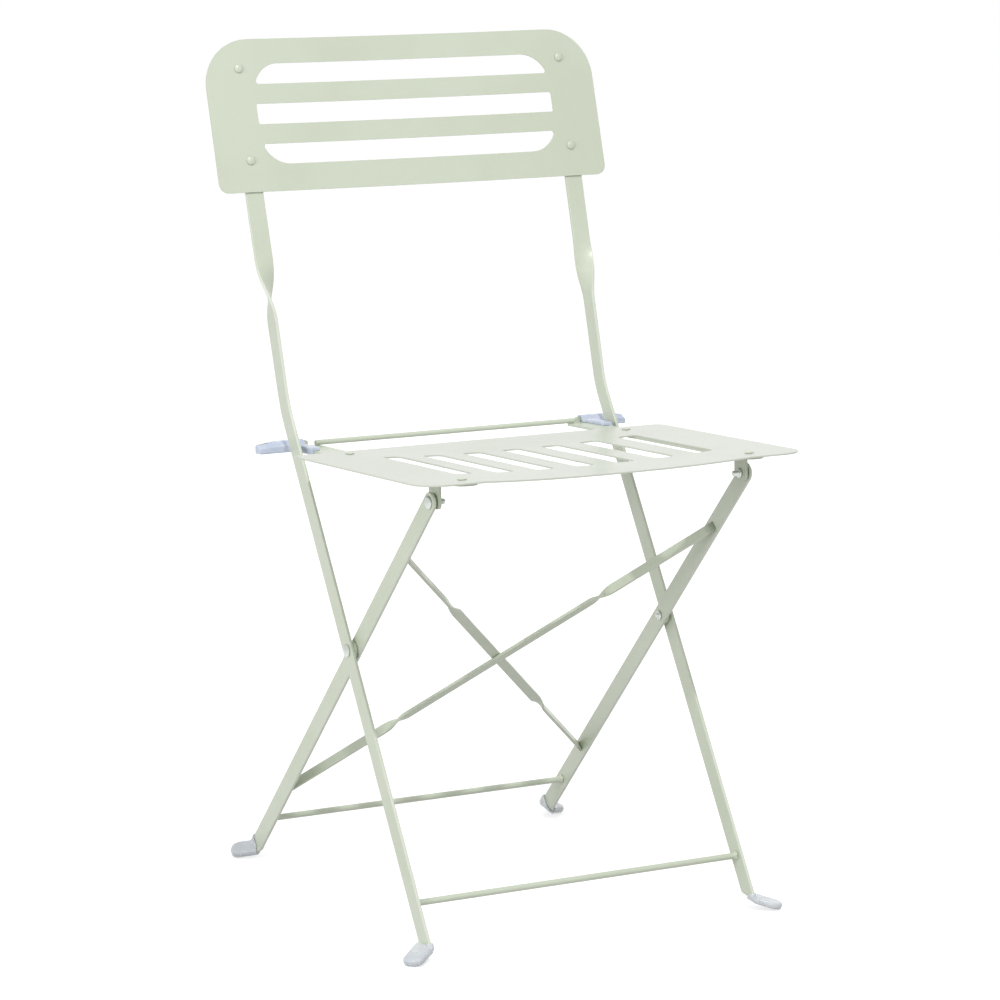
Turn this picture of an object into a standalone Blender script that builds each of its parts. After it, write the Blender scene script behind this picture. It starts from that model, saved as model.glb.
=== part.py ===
"""Folding metal garden chair: flat steel bars, a pressed slatted seat and a pressed slatted backrest.

The chair stands on the floor at z = 0 and faces -Y. Three bodies move: the back frame
(uprights and backrest), the rear leg frame, which turns on the crossing rivets, and the seat,
which turns on the seat rivets while its two rear hooks slide behind the uprights.
All sizes are in metres.
"""

import math

import bmesh
import bpy
from mathutils import Matrix, Vector
from mathutils.geometry import delaunay_2d_cdt

# Flat bars
BAR_WIDTH = 0.0185
BAR_THICK = 0.0030
BAR_CHAMFER = 0.0005
TOUCH_GAP = 0.0003

# Side view of the open chair
CROSS_Y = -0.0202
CROSS_HEIGHT = 0.2552
FRONT_LEAN = math.radians(32.6)
REAR_LEAN = math.radians(43.0)
BACK_LEAN = math.radians(16.9)
BEND_HEIGHT = 0.4651
BEND_RADIUS = 0.100
SEAT_PIVOT_REACH = 0.2248

# Widths of the frames, from the middle of the chair to the middle of a bar
FRONT_MID_X = 0.1723
BACK_MID_X = 0.1750
REAR_MID_X = 0.1648

# Uprights above the bend, measured along their slope
TWIST_START = 0.0835
TWIST_LENGTH = 0.0640
UPRIGHT_TOP = 0.3430
UPRIGHT_CORNER = 0.0060

# Feet: the bar's end is folded outward about a nearly level line and wears a clear cap
FRONT_FOLD = math.radians(75.0)
FRONT_FOLD_TILT = math.radians(-4.3)
FRONT_FOLD_RADIUS = 0.0034
FRONT_FOLD_HEIGHT = 0.0138
FRONT_TOE = 0.0328
FRONT_MOUTH = 0.0028
FRONT_MOUTH_TILT = math.radians(26.0)
REAR_FOLD = math.radians(70.7)
REAR_FOLD_TILT = math.radians(-9.6)
REAR_FOLD_RADIUS = 0.0055
REAR_FOLD_HEIGHT = 0.0139
REAR_TOE = 0.0281
REAR_MOUTH = 0.0006
REAR_MOUTH_TILT = math.radians(-52.0)
TIP_CORNER = 0.0060
CAP_SIDE_WALL = 0.0012
CAP_TOP_WALL = 0.0009
FRONT_CAP_SOLE = 0.0019
REAR_CAP_SOLE = 0.0025
CAP_TIP_WALL = 0.0019
CAP_CORNER = 0.0075
CAP_STOCK = 0.0300

# Backrest panel, measured up the slope from the bend
BACK_BOTTOM = 0.2090
BACK_HEIGHT = 0.1492
BACK_HALF_WIDTH = 0.2109
BACK_TOP_RADIUS = 0.0475
BACK_BOTTOM_RADIUS = 0.0100
BACK_BOW = 0.0030
BACK_SLOT_HEIGHT = 0.0200
BACK_SLOT_PITCH = 0.0393
BACK_SLOTS = 3
BACK_SLOT_BOTTOM = 0.0264
BACK_WINDOW_HALF = 0.1611
BACK_WINDOW_RADIUS = 0.0175
BACK_SLAT_RADIUS = 0.0020
BACK_SLOT_RADIUS = 0.0040
BACK_RIVET_HEIGHTS = (0.0307, 0.1205)

# Seat panel, measured back from its front edge
SHEET_THICK = 0.0015
SEAT_TILT = math.radians(2.757)
SEAT_ABOVE_PIVOT = 0.0227
SEAT_FRONT_OVERHANG = 0.0565
SEAT_DEPTH = 0.2719
SEAT_HALF_WIDTH = 0.1992
SEAT_FRONT_RADIUS = 0.0270
SEAT_REAR_RADIUS = 0.0090
SEAT_SLOTS = 7
SEAT_SLOT_WIDTH = 0.0192
SEAT_SLOT_PITCH = 0.0419
SEAT_SLOT_FRONT = 0.0640
SEAT_SLOT_REAR = 0.2125
SEAT_SLOT_RADIUS = 0.0050
SEAT_DISH = 0.0036
DISH_POWER = 2.6
DISH_FRONT_SHARE = 0.85
SEAT_RIVET_X = 0.1490
SEAT_RIVET_DEPTHS = (0.0245, 0.2511)

# Seat rails: a strip under the seat's edge, a pivot tab bent down and a hook at the rear
RAIL_THICK = 0.0025
RAIL_INNER_X = 0.1360
RAIL_WIDTH = 0.0250
RAIL_FRONT = 0.0095
TAB_WIDTH = 0.0196
TAB_BELOW_PIVOT = 0.0060
TAB_CORNER = 0.0045
TAB_BEND_RADIUS = 0.0040
TAB_RELIEF = 0.0010
HOOK_BEHIND_UPRIGHT = 0.0128200268
HOOK_DEPTH = 0.0074
HOOK_REACH_X = 0.1975
HOOK_CORNER = 0.0030
HOOK_FILLET = 0.0008
LIP_INNER_X = 0.1465
LIP_BEND_RADIUS = 0.0010
LIP_HEIGHT = 0.0052

# Clear covers on the hooks
COVER_WALL = 0.0020
COVER_MOUTH_X = 0.1520
COVER_GUARD_INNER_X = 0.1545
GUARD_BEHIND_SEAT = 0.0076
COVER_GUARD_RISE = 0.0035
COVER_GUARD_WALL = 0.0030
COVER_SOLE = 0.0013
COVER_TOP_WALL = 0.0011
COVER_CROWN = 0.0060
COVER_TAPER = 0.0180
COVER_TAPER_DROP = 0.0022

# Round rods
REAR_ROD_RADIUS = 0.0025
REAR_ROD_HALF = 0.1420
ROD_BEFORE_HOOK = 0.0010
CROSSBAR_RADIUS = 0.0030
FRONT_CROSSBAR_HEIGHT = 0.0457
REAR_CROSSBAR_HEIGHT = 0.0472
WELD_RISE = 0.0012
WELD_LENGTH = 0.0032

# Crossed braces between the rear legs, in the plane of the legs
BRACE_WIDTH = 0.0095
BRACE_THICK = 0.0028
BRACE_BELOW_CROSS = 0.0419
BRACE_HALF_RISE = 0.1862
BRACE_TWIST_X = 0.0792
BRACE_TWIST_LENGTH = 0.0280

# Rivets and washers
PIVOT_SHANK = 0.0030
PIVOT_HEAD = 0.0062
PIVOT_HEAD_RISE = 0.0024
PIVOT_TAIL = 0.0046
PIVOT_TAIL_RISE = 0.0020
SEAT_PIVOT_STUB = 0.0078
CROSS_STUB = 0.0035
STUB_RADIUS = 0.0026
HOLE_CLEARANCE = 0.0003
SEAT_WASHER_RADIUS = 0.0062
CROSS_WASHER_RADIUS = 0.0085
TAB_TO_LEG = 0.0023
RIVET_SHANK = 0.0020
RIVET_HEAD = 0.0043
RIVET_RISE = 0.0016
RIVET_TAIL = 0.0034
RIVET_TAIL_RISE = 0.0012
ROUND_SIDES = 16

# Finish
PAINT = (0.620, 0.680, 0.560)
PAINT_ROUGHNESS = 0.42
CLEAR = (0.780, 0.810, 0.830)
CLEAR_ROUGHNESS = 0.22

HALF_WIDTH = BAR_WIDTH / 2
HALF_THICK = BAR_THICK / 2
ACROSS_X = Vector((1, 0, 0))


def clear_scene():
    for obj in list(bpy.data.objects):
        bpy.data.objects.remove(obj, do_unlink=True)


# Mesh helpers

def finish(name, color, roughness, metallic):
    material = bpy.data.materials.new(name)
    material.use_nodes = True
    shader = material.node_tree.nodes["Principled BSDF"]
    shader.inputs["Base Color"].default_value = (*color, 1.0)
    shader.inputs["Roughness"].default_value = roughness
    shader.inputs["Metallic"].default_value = metallic
    return material


def painted(name):
    return finish(name, PAINT, PAINT_ROUGHNESS, 0.0)


def clear_plastic(name):
    return finish(name, CLEAR, CLEAR_ROUGHNESS, 0.0)


def add_body(name, location):
    """An empty on a body's joint axis, which carries the body's pieces."""
    body = bpy.data.objects.new(name, None)
    body.location = location
    bpy.context.collection.objects.link(body)
    return body


def make_object(name, points, faces, material, body):
    """One closed solid from points in the chair's own frame, carried by a body's empty."""
    mesh = bpy.data.meshes.new(name)
    mesh.from_pydata([point - body.location for point in points], [], faces)
    solid = bmesh.new()
    solid.from_mesh(mesh)
    bmesh.ops.recalc_face_normals(solid, faces=solid.faces)
    solid.to_mesh(mesh)
    solid.free()
    mesh.shade_smooth()
    mesh.set_sharp_from_angle(angle=math.radians(35))
    obj = bpy.data.objects.new(name, mesh)
    obj.parent = body
    if material:
        mesh.materials.append(material)
    bpy.context.collection.objects.link(obj)
    return obj


def loft(name, rings, material, body):
    """Skins a row of rings with the same number of points and closes both ends."""
    count = len(rings[0])
    points = [point for ring in rings for point in ring]
    faces = [tuple(range(count)), tuple(range(len(points) - count, len(points)))]
    for row in range(len(rings) - 1):
        for k in range(count):
            a = row * count + k
            b = row * count + (k + 1) % count
            faces.append((a, b, b + count, a + count))
    return make_object(name, points, faces, material, body)


def turned(name, start, axis, profile, material, body):
    """Turns a profile of (distance along the axis, radius) pairs about the axis."""
    axis = axis.normalized()
    side = axis.orthogonal().normalized()
    other = axis.cross(side)
    rings = []
    for distance, radius in profile:
        ring = []
        for k in range(ROUND_SIDES):
            angle = math.tau * k / ROUND_SIDES
            spoke = side * math.cos(angle) + other * math.sin(angle)
            ring.append(start + axis * distance + spoke * radius)
        rings.append(ring)
    return loft(name, rings, material, body)


def washer(name, start, axis, thickness, hole, radius, material, body):
    """A flat ring, turned from a rectangle."""
    axis = axis.normalized()
    side = axis.orthogonal().normalized()
    other = axis.cross(side)
    section = ((0, hole), (thickness, hole), (thickness, radius), (0, radius))
    points = []
    faces = []
    for k in range(ROUND_SIDES):
        angle = math.tau * k / ROUND_SIDES
        spoke = side * math.cos(angle) + other * math.sin(angle)
        points += [start + axis * distance + spoke * r for distance, r in section]
        for j in range(4):
            following = (k + 1) % ROUND_SIDES * 4
            faces.append((k * 4 + j, k * 4 + (j + 1) % 4, following + (j + 1) % 4, following + j))
    return make_object(name, points, faces, material, body)


def dome(radius, rise):
    """Half a flattened dome as profile pairs, from its rim up to its crown."""
    steps = (0, 30, 60, 78)
    return [(rise * math.sin(math.radians(a)), radius * math.cos(math.radians(a))) for a in steps]


def block(low, high, frame=None):
    """A plain box between two corners, used as a cutter or joined to a larger solid."""
    corners = [Vector((x, y, z)) for x in (low[0], high[0]) for y in (low[1], high[1])
               for z in (low[2], high[2])]
    if frame:
        corners = [frame(*corner) for corner in corners]
    faces = [(0, 1, 3, 2), (4, 6, 7, 5), (0, 4, 5, 1), (2, 3, 7, 6), (0, 2, 6, 4), (1, 5, 7, 3)]
    return make_object("cutter", corners, faces, None, FIXED)


def combine(obj, tools, operation="DIFFERENCE"):
    """Applies one Boolean for each tool and removes the tools."""
    for tool in tools:
        tool.hide_render = True
        tool.display_type = "WIRE"
        modifier = obj.modifiers.new("cut", "BOOLEAN")
        modifier.operation = operation
        modifier.solver = "EXACT"
        modifier.object = tool
        bpy.context.view_layer.update()
        graph = bpy.context.evaluated_depsgraph_get()
        result = bpy.data.meshes.new_from_object(obj.evaluated_get(graph))
        obj.modifiers.remove(modifier)
        obj.data = result
        bpy.data.objects.remove(tool, do_unlink=True)


def drill(obj, points, axis, radius, length):
    """Drills round holes through a solid, each centred on its point."""
    direction = axis.normalized()
    tools = [turned("drill", point - direction * length / 2, direction, [(0, radius), (length, radius)],
                    None, FIXED) for point in points]
    combine(obj, tools)


# Outlines of pressed sheets

def rounded(corners):
    """An outline from (x, y, radius) corners, each rounded with an arc."""
    outline = []
    for index, (x, y, radius) in enumerate(corners):
        here = Vector((x, y))
        back = (Vector(corners[index - 1][:2]) - here).normalized()
        ahead = (Vector(corners[(index + 1) % len(corners)][:2]) - here).normalized()
        half = back.angle(ahead) / 2
        centre = here + (back + ahead).normalized() * (radius / math.sin(half))
        first = here + back * (radius / math.tan(half)) - centre
        last = here + ahead * (radius / math.tan(half)) - centre
        sweep = first.angle_signed(last)
        steps = max(2, round(abs(sweep) / math.radians(18)))
        for k in range(steps + 1):
            turn = Matrix.Rotation(-sweep * k / steps, 2)
            outline.append(centre + turn @ first)
    return outline


def divided(outline, longest):
    """Adds points so that no edge of the outline is longer than asked."""
    result = []
    for index, here in enumerate(outline):
        ahead = outline[(index + 1) % len(outline)]
        steps = max(1, math.ceil((ahead - here).length / longest))
        result += [here.lerp(ahead, k / steps) for k in range(steps)]
    return result


def circle(x, y, radius):
    turns = [math.tau * k / 12 for k in range(12)]
    return [Vector((x + radius * math.cos(a), y + radius * math.sin(a))) for a in turns]


def inside(point, outline):
    """True where a point lies within a closed outline."""
    hit = False
    for index, here in enumerate(outline):
        before = outline[index - 1]
        if (here.y > point.y) != (before.y > point.y):
            crossing = before.x + (point.y - before.y) / (here.y - before.y) * (here.x - before.x)
            if point.x < crossing:
                hit = not hit
    return hit


def pressed(name, outline, holes, creases, thickness, shape, material, body):
    """A sheet cut from an outline with holes and pressed to a shape.

    shape gives each point of the flat pattern its place on the sheet's upper face and the
    normal there. Creases are extra points, or pairs of points, that the bends need.
    """
    points = []
    edges = []
    for loop in (outline, *holes):
        start = len(points)
        points += loop
        edges += [(start + k, start + (k + 1) % len(loop)) for k in range(len(loop))]
    for crease in creases:
        if isinstance(crease, Vector):
            points.append(crease)
        else:
            edges.append((len(points), len(points) + 1))
            points += crease
    pattern, _, triangles, _, _, _ = delaunay_2d_cdt(points, edges, [], 0, 1e-6)
    kept = []
    for triangle in triangles:
        middle = sum((pattern[k] for k in triangle), Vector((0, 0))) / len(triangle)
        if inside(middle, outline) and not any(inside(middle, hole) for hole in holes):
            kept.append(tuple(triangle))
    used = sorted({k for triangle in kept for k in triangle})
    place = {k: index for index, k in enumerate(used)}
    upper = [shape(*pattern[k]) for k in used]
    solid = [point for point, _ in upper] + [point - normal * thickness for point, normal in upper]
    count = len(used)
    faces = []
    borders = {}
    for triangle in kept:
        top = [place[k] for k in triangle]
        faces.append(tuple(top))
        faces.append(tuple(k + count for k in reversed(top)))
        for k in range(3):
            edge = (top[k], top[(k + 1) % 3])
            borders[frozenset(edge)] = None if frozenset(edge) in borders else edge
    for edge in borders.values():
        if edge:
            faces.append((edge[1], edge[0], edge[0] + count, edge[1] + count))
    return make_object(name, solid, faces, material, body)


# Bars

def bar_ring(centre, across, through, half_width, half_thick, chamfer=BAR_CHAMFER):
    """Section of a flat bar with chamfered edges, centred on a point of its run."""
    steps = [(1, -1, 0), (1, 1, 0), (1, 1, 1), (-1, 1, 1), (-1, 1, 0), (-1, -1, 0), (-1, -1, 1), (1, -1, 1)]
    ring = []
    for wide, thick, narrowed in steps:
        w = wide * (half_width - chamfer * narrowed)
        t = thick * (half_thick - chamfer * (1 - narrowed))
        ring.append(centre + across * w + through * t)
    return ring


def rounding(radius, steps):
    """(distance from the tip, cut on each side) pairs of a rounded end."""
    turns = [math.pi / 2 * k / steps for k in range(steps + 1)]
    return [(radius * (1 - math.cos(a)), radius * (1 - math.sin(a))) for a in turns]


class Leg:
    """A leg bar in its flat pattern (offset outward, y, height), and the fold of its foot."""

    def __init__(self, mid_x, lean, fold, fold_tilt, radius, fold_height, toe):
        self.mid_x = mid_x
        self.lean = lean
        self.fold = fold
        self.radius = radius
        self.toe = toe
        self.along = Vector((0, math.sin(lean), math.cos(lean)))
        self.front = Vector((0, -math.cos(lean), math.sin(lean)))
        self.fold_line = Vector((0, -math.cos(fold_tilt), math.sin(fold_tilt)))
        self.down = Vector((0, -math.sin(fold_tilt), -math.cos(fold_tilt)))
        self.slant = math.cos(lean - fold_tilt)
        self.start = self.centre(fold_height)

    def centre(self, height):
        return Vector((0, CROSS_Y + math.tan(self.lean) * (height - CROSS_HEIGHT), height))

    def below(self, distance):
        """Middle of the flat bar at a distance down from the fold's first line."""
        return self.start - self.along * distance

    def folded(self, point, side):
        """Place of a flat-pattern point on the folded leg of one side."""
        run = Vector((0, point.y, point.z)) - self.start
        depth = max(run.dot(self.down), 0.0)
        turn = min(depth / self.radius, self.fold)
        beyond = max(depth - self.radius * self.fold, 0.0)
        out = self.radius * (1 - math.cos(turn)) + beyond * math.sin(turn) + point.x * math.cos(turn)
        drop = self.radius * math.sin(turn) + beyond * math.cos(turn) - point.x * math.sin(turn)
        place = point + self.down * (drop - depth)
        return Vector((side * (self.mid_x + out), place.y, place.z))

    def foot_rings(self, corner, wide=0.0, top=0.0, sole=0.0, tip=0.0, chamfer=BAR_CHAMFER):
        """Rings from the square tip of the foot up to the start of the fold, with added walls."""
        half_width = HALF_WIDTH + wide
        half_thick = HALF_THICK + (top + sole) / 2
        shift = ACROSS_X * ((top - sole) / 2)
        rings = []
        for rise, cut in rounding(corner, 3):
            centre = self.below(self.toe + tip - rise) + shift
            rings.append(bar_ring(centre, self.front, -ACROSS_X, half_width - cut, half_thick, chamfer))
        for k in range(7):
            depth = self.radius * self.fold * (1 - k / 6)
            centre = self.below(depth / self.slant) + shift
            rings.append(bar_ring(centre, self.fold_line, -ACROSS_X, half_width / self.slant, half_thick, chamfer))
        return rings


FRONT_LEG = Leg(FRONT_MID_X, FRONT_LEAN, FRONT_FOLD, FRONT_FOLD_TILT, FRONT_FOLD_RADIUS, FRONT_FOLD_HEIGHT,
                FRONT_TOE)
REAR_LEG = Leg(REAR_MID_X, -REAR_LEAN, REAR_FOLD, REAR_FOLD_TILT, REAR_FOLD_RADIUS, REAR_FOLD_HEIGHT,
               REAR_TOE)
BEND = FRONT_LEG.centre(BEND_HEIGHT)
SLOPE = Vector((0, math.sin(BACK_LEAN), math.cos(BACK_LEAN)))
SLOPE_FRONT = Vector((0, -math.cos(BACK_LEAN), math.sin(BACK_LEAN)))
CROSS = Vector((0, CROSS_Y, CROSS_HEIGHT))
SEAT_PIVOT = CROSS + REAR_LEG.along * SEAT_PIVOT_REACH
SEAT_BACK = Vector((0, math.cos(SEAT_TILT), -math.sin(SEAT_TILT)))
SEAT_UP = Vector((0, math.sin(SEAT_TILT), math.cos(SEAT_TILT)))
SEAT_EDGE = SEAT_PIVOT - SEAT_BACK * SEAT_FRONT_OVERHANG + SEAT_UP * SEAT_ABOVE_PIVOT
COVER_GUARD_FRONT = SEAT_DEPTH + GUARD_BEHIND_SEAT


def upright_rear_depth(height):
    """Where an upright's rear edge passes a height of the seat, measured back from the seat's front edge."""
    edge = CROSS - FRONT_LEG.front * HALF_WIDTH
    climb = (height - (edge - SEAT_EDGE).dot(SEAT_UP)) / FRONT_LEG.along.dot(SEAT_UP)
    return (edge + FRONT_LEG.along * climb - SEAT_EDGE).dot(SEAT_BACK)


HOOK_FRONT = upright_rear_depth(-SHEET_THICK - TOUCH_GAP) + HOOK_BEHIND_UPRIGHT
REAR_ROD_DEPTH = HOOK_FRONT - ROD_BEFORE_HOOK


def seat_point(x, depth, height):
    """A point of the seat from its side offset, its depth behind the front edge and its height."""
    return Vector((x, 0, 0)) + SEAT_EDGE + SEAT_BACK * depth + SEAT_UP * height


# Back frame

def splay(distance):
    """How far an upright's middle moves outward up the slope, until the lower back rivets."""
    share = min(max(distance / (BACK_BOTTOM + BACK_RIVET_HEIGHTS[0]), 0.0), 1.0)
    return (BACK_MID_X - FRONT_MID_X) * share


def upright_rings():
    leg = FRONT_LEG
    rings = leg.foot_rings(TIP_CORNER)
    inward = -ACROSS_X
    rings.append(bar_ring(leg.below(-HALF_WIDTH), leg.front, inward, HALF_WIDTH, HALF_THICK))
    bend_angle = FRONT_LEAN - BACK_LEAN
    reach = BEND_RADIUS * math.tan(bend_angle / 2)
    turning = BEND - leg.along * reach + leg.front * BEND_RADIUS
    for k in range(6):
        lean = FRONT_LEAN - bend_angle * k / 5
        front = Vector((0, -math.cos(lean), math.sin(lean)))
        rings.append(bar_ring(turning - front * BEND_RADIUS, front, inward, HALF_WIDTH, HALF_THICK))
    twist_steps = 12
    for k in range(twist_steps + 1):
        distance = TWIST_START + TWIST_LENGTH * k / twist_steps
        share = k / twist_steps
        turn = math.radians(90) * (1 - share * share * (3 - 2 * share))
        across = ACROSS_X * math.cos(turn) + SLOPE_FRONT * math.sin(turn)
        through = SLOPE_FRONT * math.cos(turn) - ACROSS_X * math.sin(turn)
        centre = BEND + SLOPE * distance + ACROSS_X * splay(distance)
        rings.append(bar_ring(centre, across, through, HALF_WIDTH, HALF_THICK))
    knee = BACK_BOTTOM + BACK_RIVET_HEIGHTS[0]
    rings.append(bar_ring(BEND + SLOPE * knee + ACROSS_X * splay(knee), ACROSS_X, SLOPE_FRONT,
                          HALF_WIDTH, HALF_THICK))
    for drop, cut in reversed(rounding(UPRIGHT_CORNER, 3)):
        centre = BEND + SLOPE * (UPRIGHT_TOP - drop) + ACROSS_X * splay(UPRIGHT_TOP)
        rings.append(bar_ring(centre, ACROSS_X, SLOPE_FRONT, HALF_WIDTH - cut, HALF_THICK))
    return rings


def make_upright(name, side):
    rings = [[FRONT_LEG.folded(point, side) for point in ring] for ring in upright_rings()]
    obj = loft(name, rings, painted(name), BACK_BODY)
    pivot = Vector((side * FRONT_MID_X, CROSS.y, CROSS.z))
    drill(obj, [pivot], ACROSS_X, PIVOT_SHANK + HOLE_CLEARANCE, BAR_WIDTH)
    holes = [Vector((side * BACK_MID_X, 0, 0)) + BEND + SLOPE * (BACK_BOTTOM + height)
             for height in BACK_RIVET_HEIGHTS]
    drill(obj, holes, SLOPE_FRONT, RIVET_SHANK + HOLE_CLEARANCE, BAR_WIDTH)


def back_point(x, height):
    """Place and normal on the backrest's front face, bowed back between the uprights."""
    share = min(abs(x) / BACK_WINDOW_HALF, 1.0)
    bow = BACK_BOW * (1 - share * share)
    lift = HALF_THICK + TOUCH_GAP + SHEET_THICK - bow
    place = Vector((x, 0, 0)) + BEND + SLOPE * (BACK_BOTTOM + height) + SLOPE_FRONT * lift
    return place, SLOPE_FRONT


def back_slot(index):
    """One level slot; the window's outer corners are rounded wider than the others."""
    low = BACK_SLOT_BOTTOM + BACK_SLOT_PITCH * index
    high = low + BACK_SLOT_HEIGHT
    bottom = BACK_SLOT_RADIUS
    top = BACK_SLOT_RADIUS
    if index == 0:
        bottom, top = BACK_WINDOW_RADIUS, BACK_SLAT_RADIUS
    if index == BACK_SLOTS - 1:
        bottom, top = BACK_SLAT_RADIUS, BACK_WINDOW_RADIUS
    half = BACK_WINDOW_HALF
    corners = [(-half, low, bottom), (half, low, bottom), (half, high, top), (-half, high, top)]
    return divided(rounded(corners), BACK_WINDOW_HALF / 6)


def make_back_panel():
    half = BACK_HALF_WIDTH
    outline = rounded([(-half, 0, BACK_BOTTOM_RADIUS), (half, 0, BACK_BOTTOM_RADIUS),
                       (half, BACK_HEIGHT, BACK_TOP_RADIUS), (-half, BACK_HEIGHT, BACK_TOP_RADIUS)])
    holes = [back_slot(index) for index in range(BACK_SLOTS)]
    holes += [circle(side * BACK_MID_X, height, RIVET_SHANK + HOLE_CLEARANCE)
              for side in (-1, 1) for height in BACK_RIVET_HEIGHTS]
    pressed("back_panel", divided(outline, BACK_WINDOW_HALF / 6), holes, [], SHEET_THICK, back_point,
            painted("back_panel"), BACK_BODY)


def riveted(name, face, axis, grip, material, body):
    """A small rivet with a domed head on a face and a flat tail behind the pieces that it grips."""
    shank = RIVET_SHANK
    head = [(TOUCH_GAP + rise, radius) for rise, radius in dome(RIVET_HEAD, RIVET_RISE)]
    tail = -grip - TOUCH_GAP
    profile = [(tail - RIVET_TAIL_RISE, RIVET_TAIL * 0.7), (tail - RIVET_TAIL_RISE / 2, RIVET_TAIL),
               (tail, RIVET_TAIL), (tail, shank), (TOUCH_GAP, shank)]
    return turned(name, face, axis, profile + head, material, body)


def make_back_rivets():
    grip = SHEET_THICK + TOUCH_GAP + BAR_THICK
    for side, word in ((-1, "left"), (1, "right")):
        for height, level in zip(BACK_RIVET_HEIGHTS, ("lower", "upper")):
            name = f"back_rivet_{word}_{level}"
            face, normal = back_point(side * BACK_MID_X, height)
            riveted(name, face, normal, grip, painted(name), BACK_BODY)


def make_crossbar(name, leg, height, body):
    """A round bar between two legs with a weld bead at each end."""
    half = leg.mid_x - HALF_THICK - TOUCH_GAP
    start = leg.centre(height) - ACROSS_X * half
    bead = [(0, CROSSBAR_RADIUS + WELD_RISE), (WELD_LENGTH / 2, CROSSBAR_RADIUS + WELD_RISE),
            (WELD_LENGTH, CROSSBAR_RADIUS)]
    profile = bead + [(2 * half - distance, radius) for distance, radius in reversed(bead)]
    turned(name, start, ACROSS_X, profile, painted(name), body)


def make_foot_cap(name, leg, side, sole, mouth, mouth_tilt, body):
    """A clear cap over a folded foot: an offset of the foot, cut level and across its mouth."""

    def shell(stock, corner, wide, top, low, tip, chamfer):
        rings = leg.foot_rings(corner, wide, top, low, tip, chamfer)
        rings.append([point + leg.along * stock for point in rings[-1]])
        return [[leg.folded(point, side) for point in ring] for ring in rings]

    free = TOUCH_GAP
    outer = shell(CAP_STOCK, CAP_CORNER, free + CAP_SIDE_WALL, free + CAP_TOP_WALL, free + sole,
                  free + CAP_TIP_WALL, CAP_SIDE_WALL)
    inner = shell(CAP_STOCK * 1.5, TIP_CORNER, free, free, free, free, BAR_CHAMFER)
    cap = loft(name, outer, clear_plastic(name), body)

    mouth_line = Vector((0, -math.cos(mouth_tilt), math.sin(mouth_tilt)))
    mouth_half = HALF_WIDTH / mouth_line.dot(leg.front)

    def mouth_end(way, distance):
        return leg.folded(leg.below(distance) + mouth_line * (way * mouth_half), side)

    upper = mouth_end(1, mouth)
    lower = mouth_end(-1, mouth)
    across = (upper - lower).normalized()
    runs = [(mouth_end(way, mouth + HALF_THICK) - mouth_end(way, mouth)).normalized() for way in (1, -1)]
    inward = runs[0] + runs[1]
    inward = (inward - across * inward.dot(across)).normalized()
    third = across.cross(inward)

    def before_mouth(a, b, c):
        return (upper + lower) / 2 + across * a + third * b - inward * c

    reach = 3 * CAP_STOCK
    tools = [block((-1, -1, -reach), (1, 1, 0)),
             block((-reach, -reach, 0), (reach, reach, reach), before_mouth),
             loft("foot", inner, None, FIXED)]
    combine(cap, tools)


# Rear leg frame

def make_rear_leg(name, side):
    leg = REAR_LEG
    rings = leg.foot_rings(TIP_CORNER)
    rings.append(bar_ring(leg.below(-HALF_WIDTH), leg.front, -ACROSS_X, HALF_WIDTH, HALF_THICK))
    top = SEAT_PIVOT.copy()
    for turn in (0, 20, 38, 54, 68, 80):
        angle = math.radians(turn)
        centre = top + leg.along * (HALF_WIDTH * math.sin(angle))
        rings.append(bar_ring(centre, leg.front, -ACROSS_X, HALF_WIDTH * math.cos(angle), HALF_THICK))
    rings = [[leg.folded(point, side) for point in ring] for ring in rings]
    obj = loft(name, rings, painted(name), REAR_BODY)
    holes = [Vector((side * leg.mid_x, point.y, point.z)) for point in (CROSS, SEAT_PIVOT)]
    drill(obj, holes, ACROSS_X, PIVOT_SHANK + HOLE_CLEARANCE, BAR_WIDTH)


def make_brace(name, direction, offset):
    """A strip that crosses between the rear legs, flat in the middle and turned near its ends."""
    leg = REAR_LEG
    middle = CROSS - leg.along * BRACE_BELOW_CROSS + leg.front * offset
    half_x = leg.mid_x - HALF_THICK - TOUCH_GAP
    run = Vector((half_x, 0, 0)) + leg.along * (BRACE_HALF_RISE * direction)
    length = run.length
    along = run.normalized()
    flat = leg.front.cross(along)
    twist_at = BRACE_TWIST_X / abs(along.x)
    first = twist_at - BRACE_TWIST_LENGTH / 2
    half = [(0.0, 0.0)]
    half += [(first + BRACE_TWIST_LENGTH * k / 6, k / 6) for k in range(7)]
    half.append((length, 1.0))
    stations = [(-distance, share) for distance, share in reversed(half[1:])] + half
    rings = []
    for distance, share in stations:
        turn = math.radians(90) * share * share * (3 - 2 * share)
        across = flat * math.cos(turn) + leg.front * math.sin(turn)
        through = leg.front * math.cos(turn) - flat * math.sin(turn)
        ring = bar_ring(middle + along * distance, across, through, BRACE_WIDTH / 2, BRACE_THICK / 2)
        if abs(distance) == length:
            ring = [point + along * ((math.copysign(half_x, distance) - point.x) / along.x) for point in ring]
        rings.append(ring)
    loft(name, rings, painted(name), REAR_BODY)


# Pivots

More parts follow.
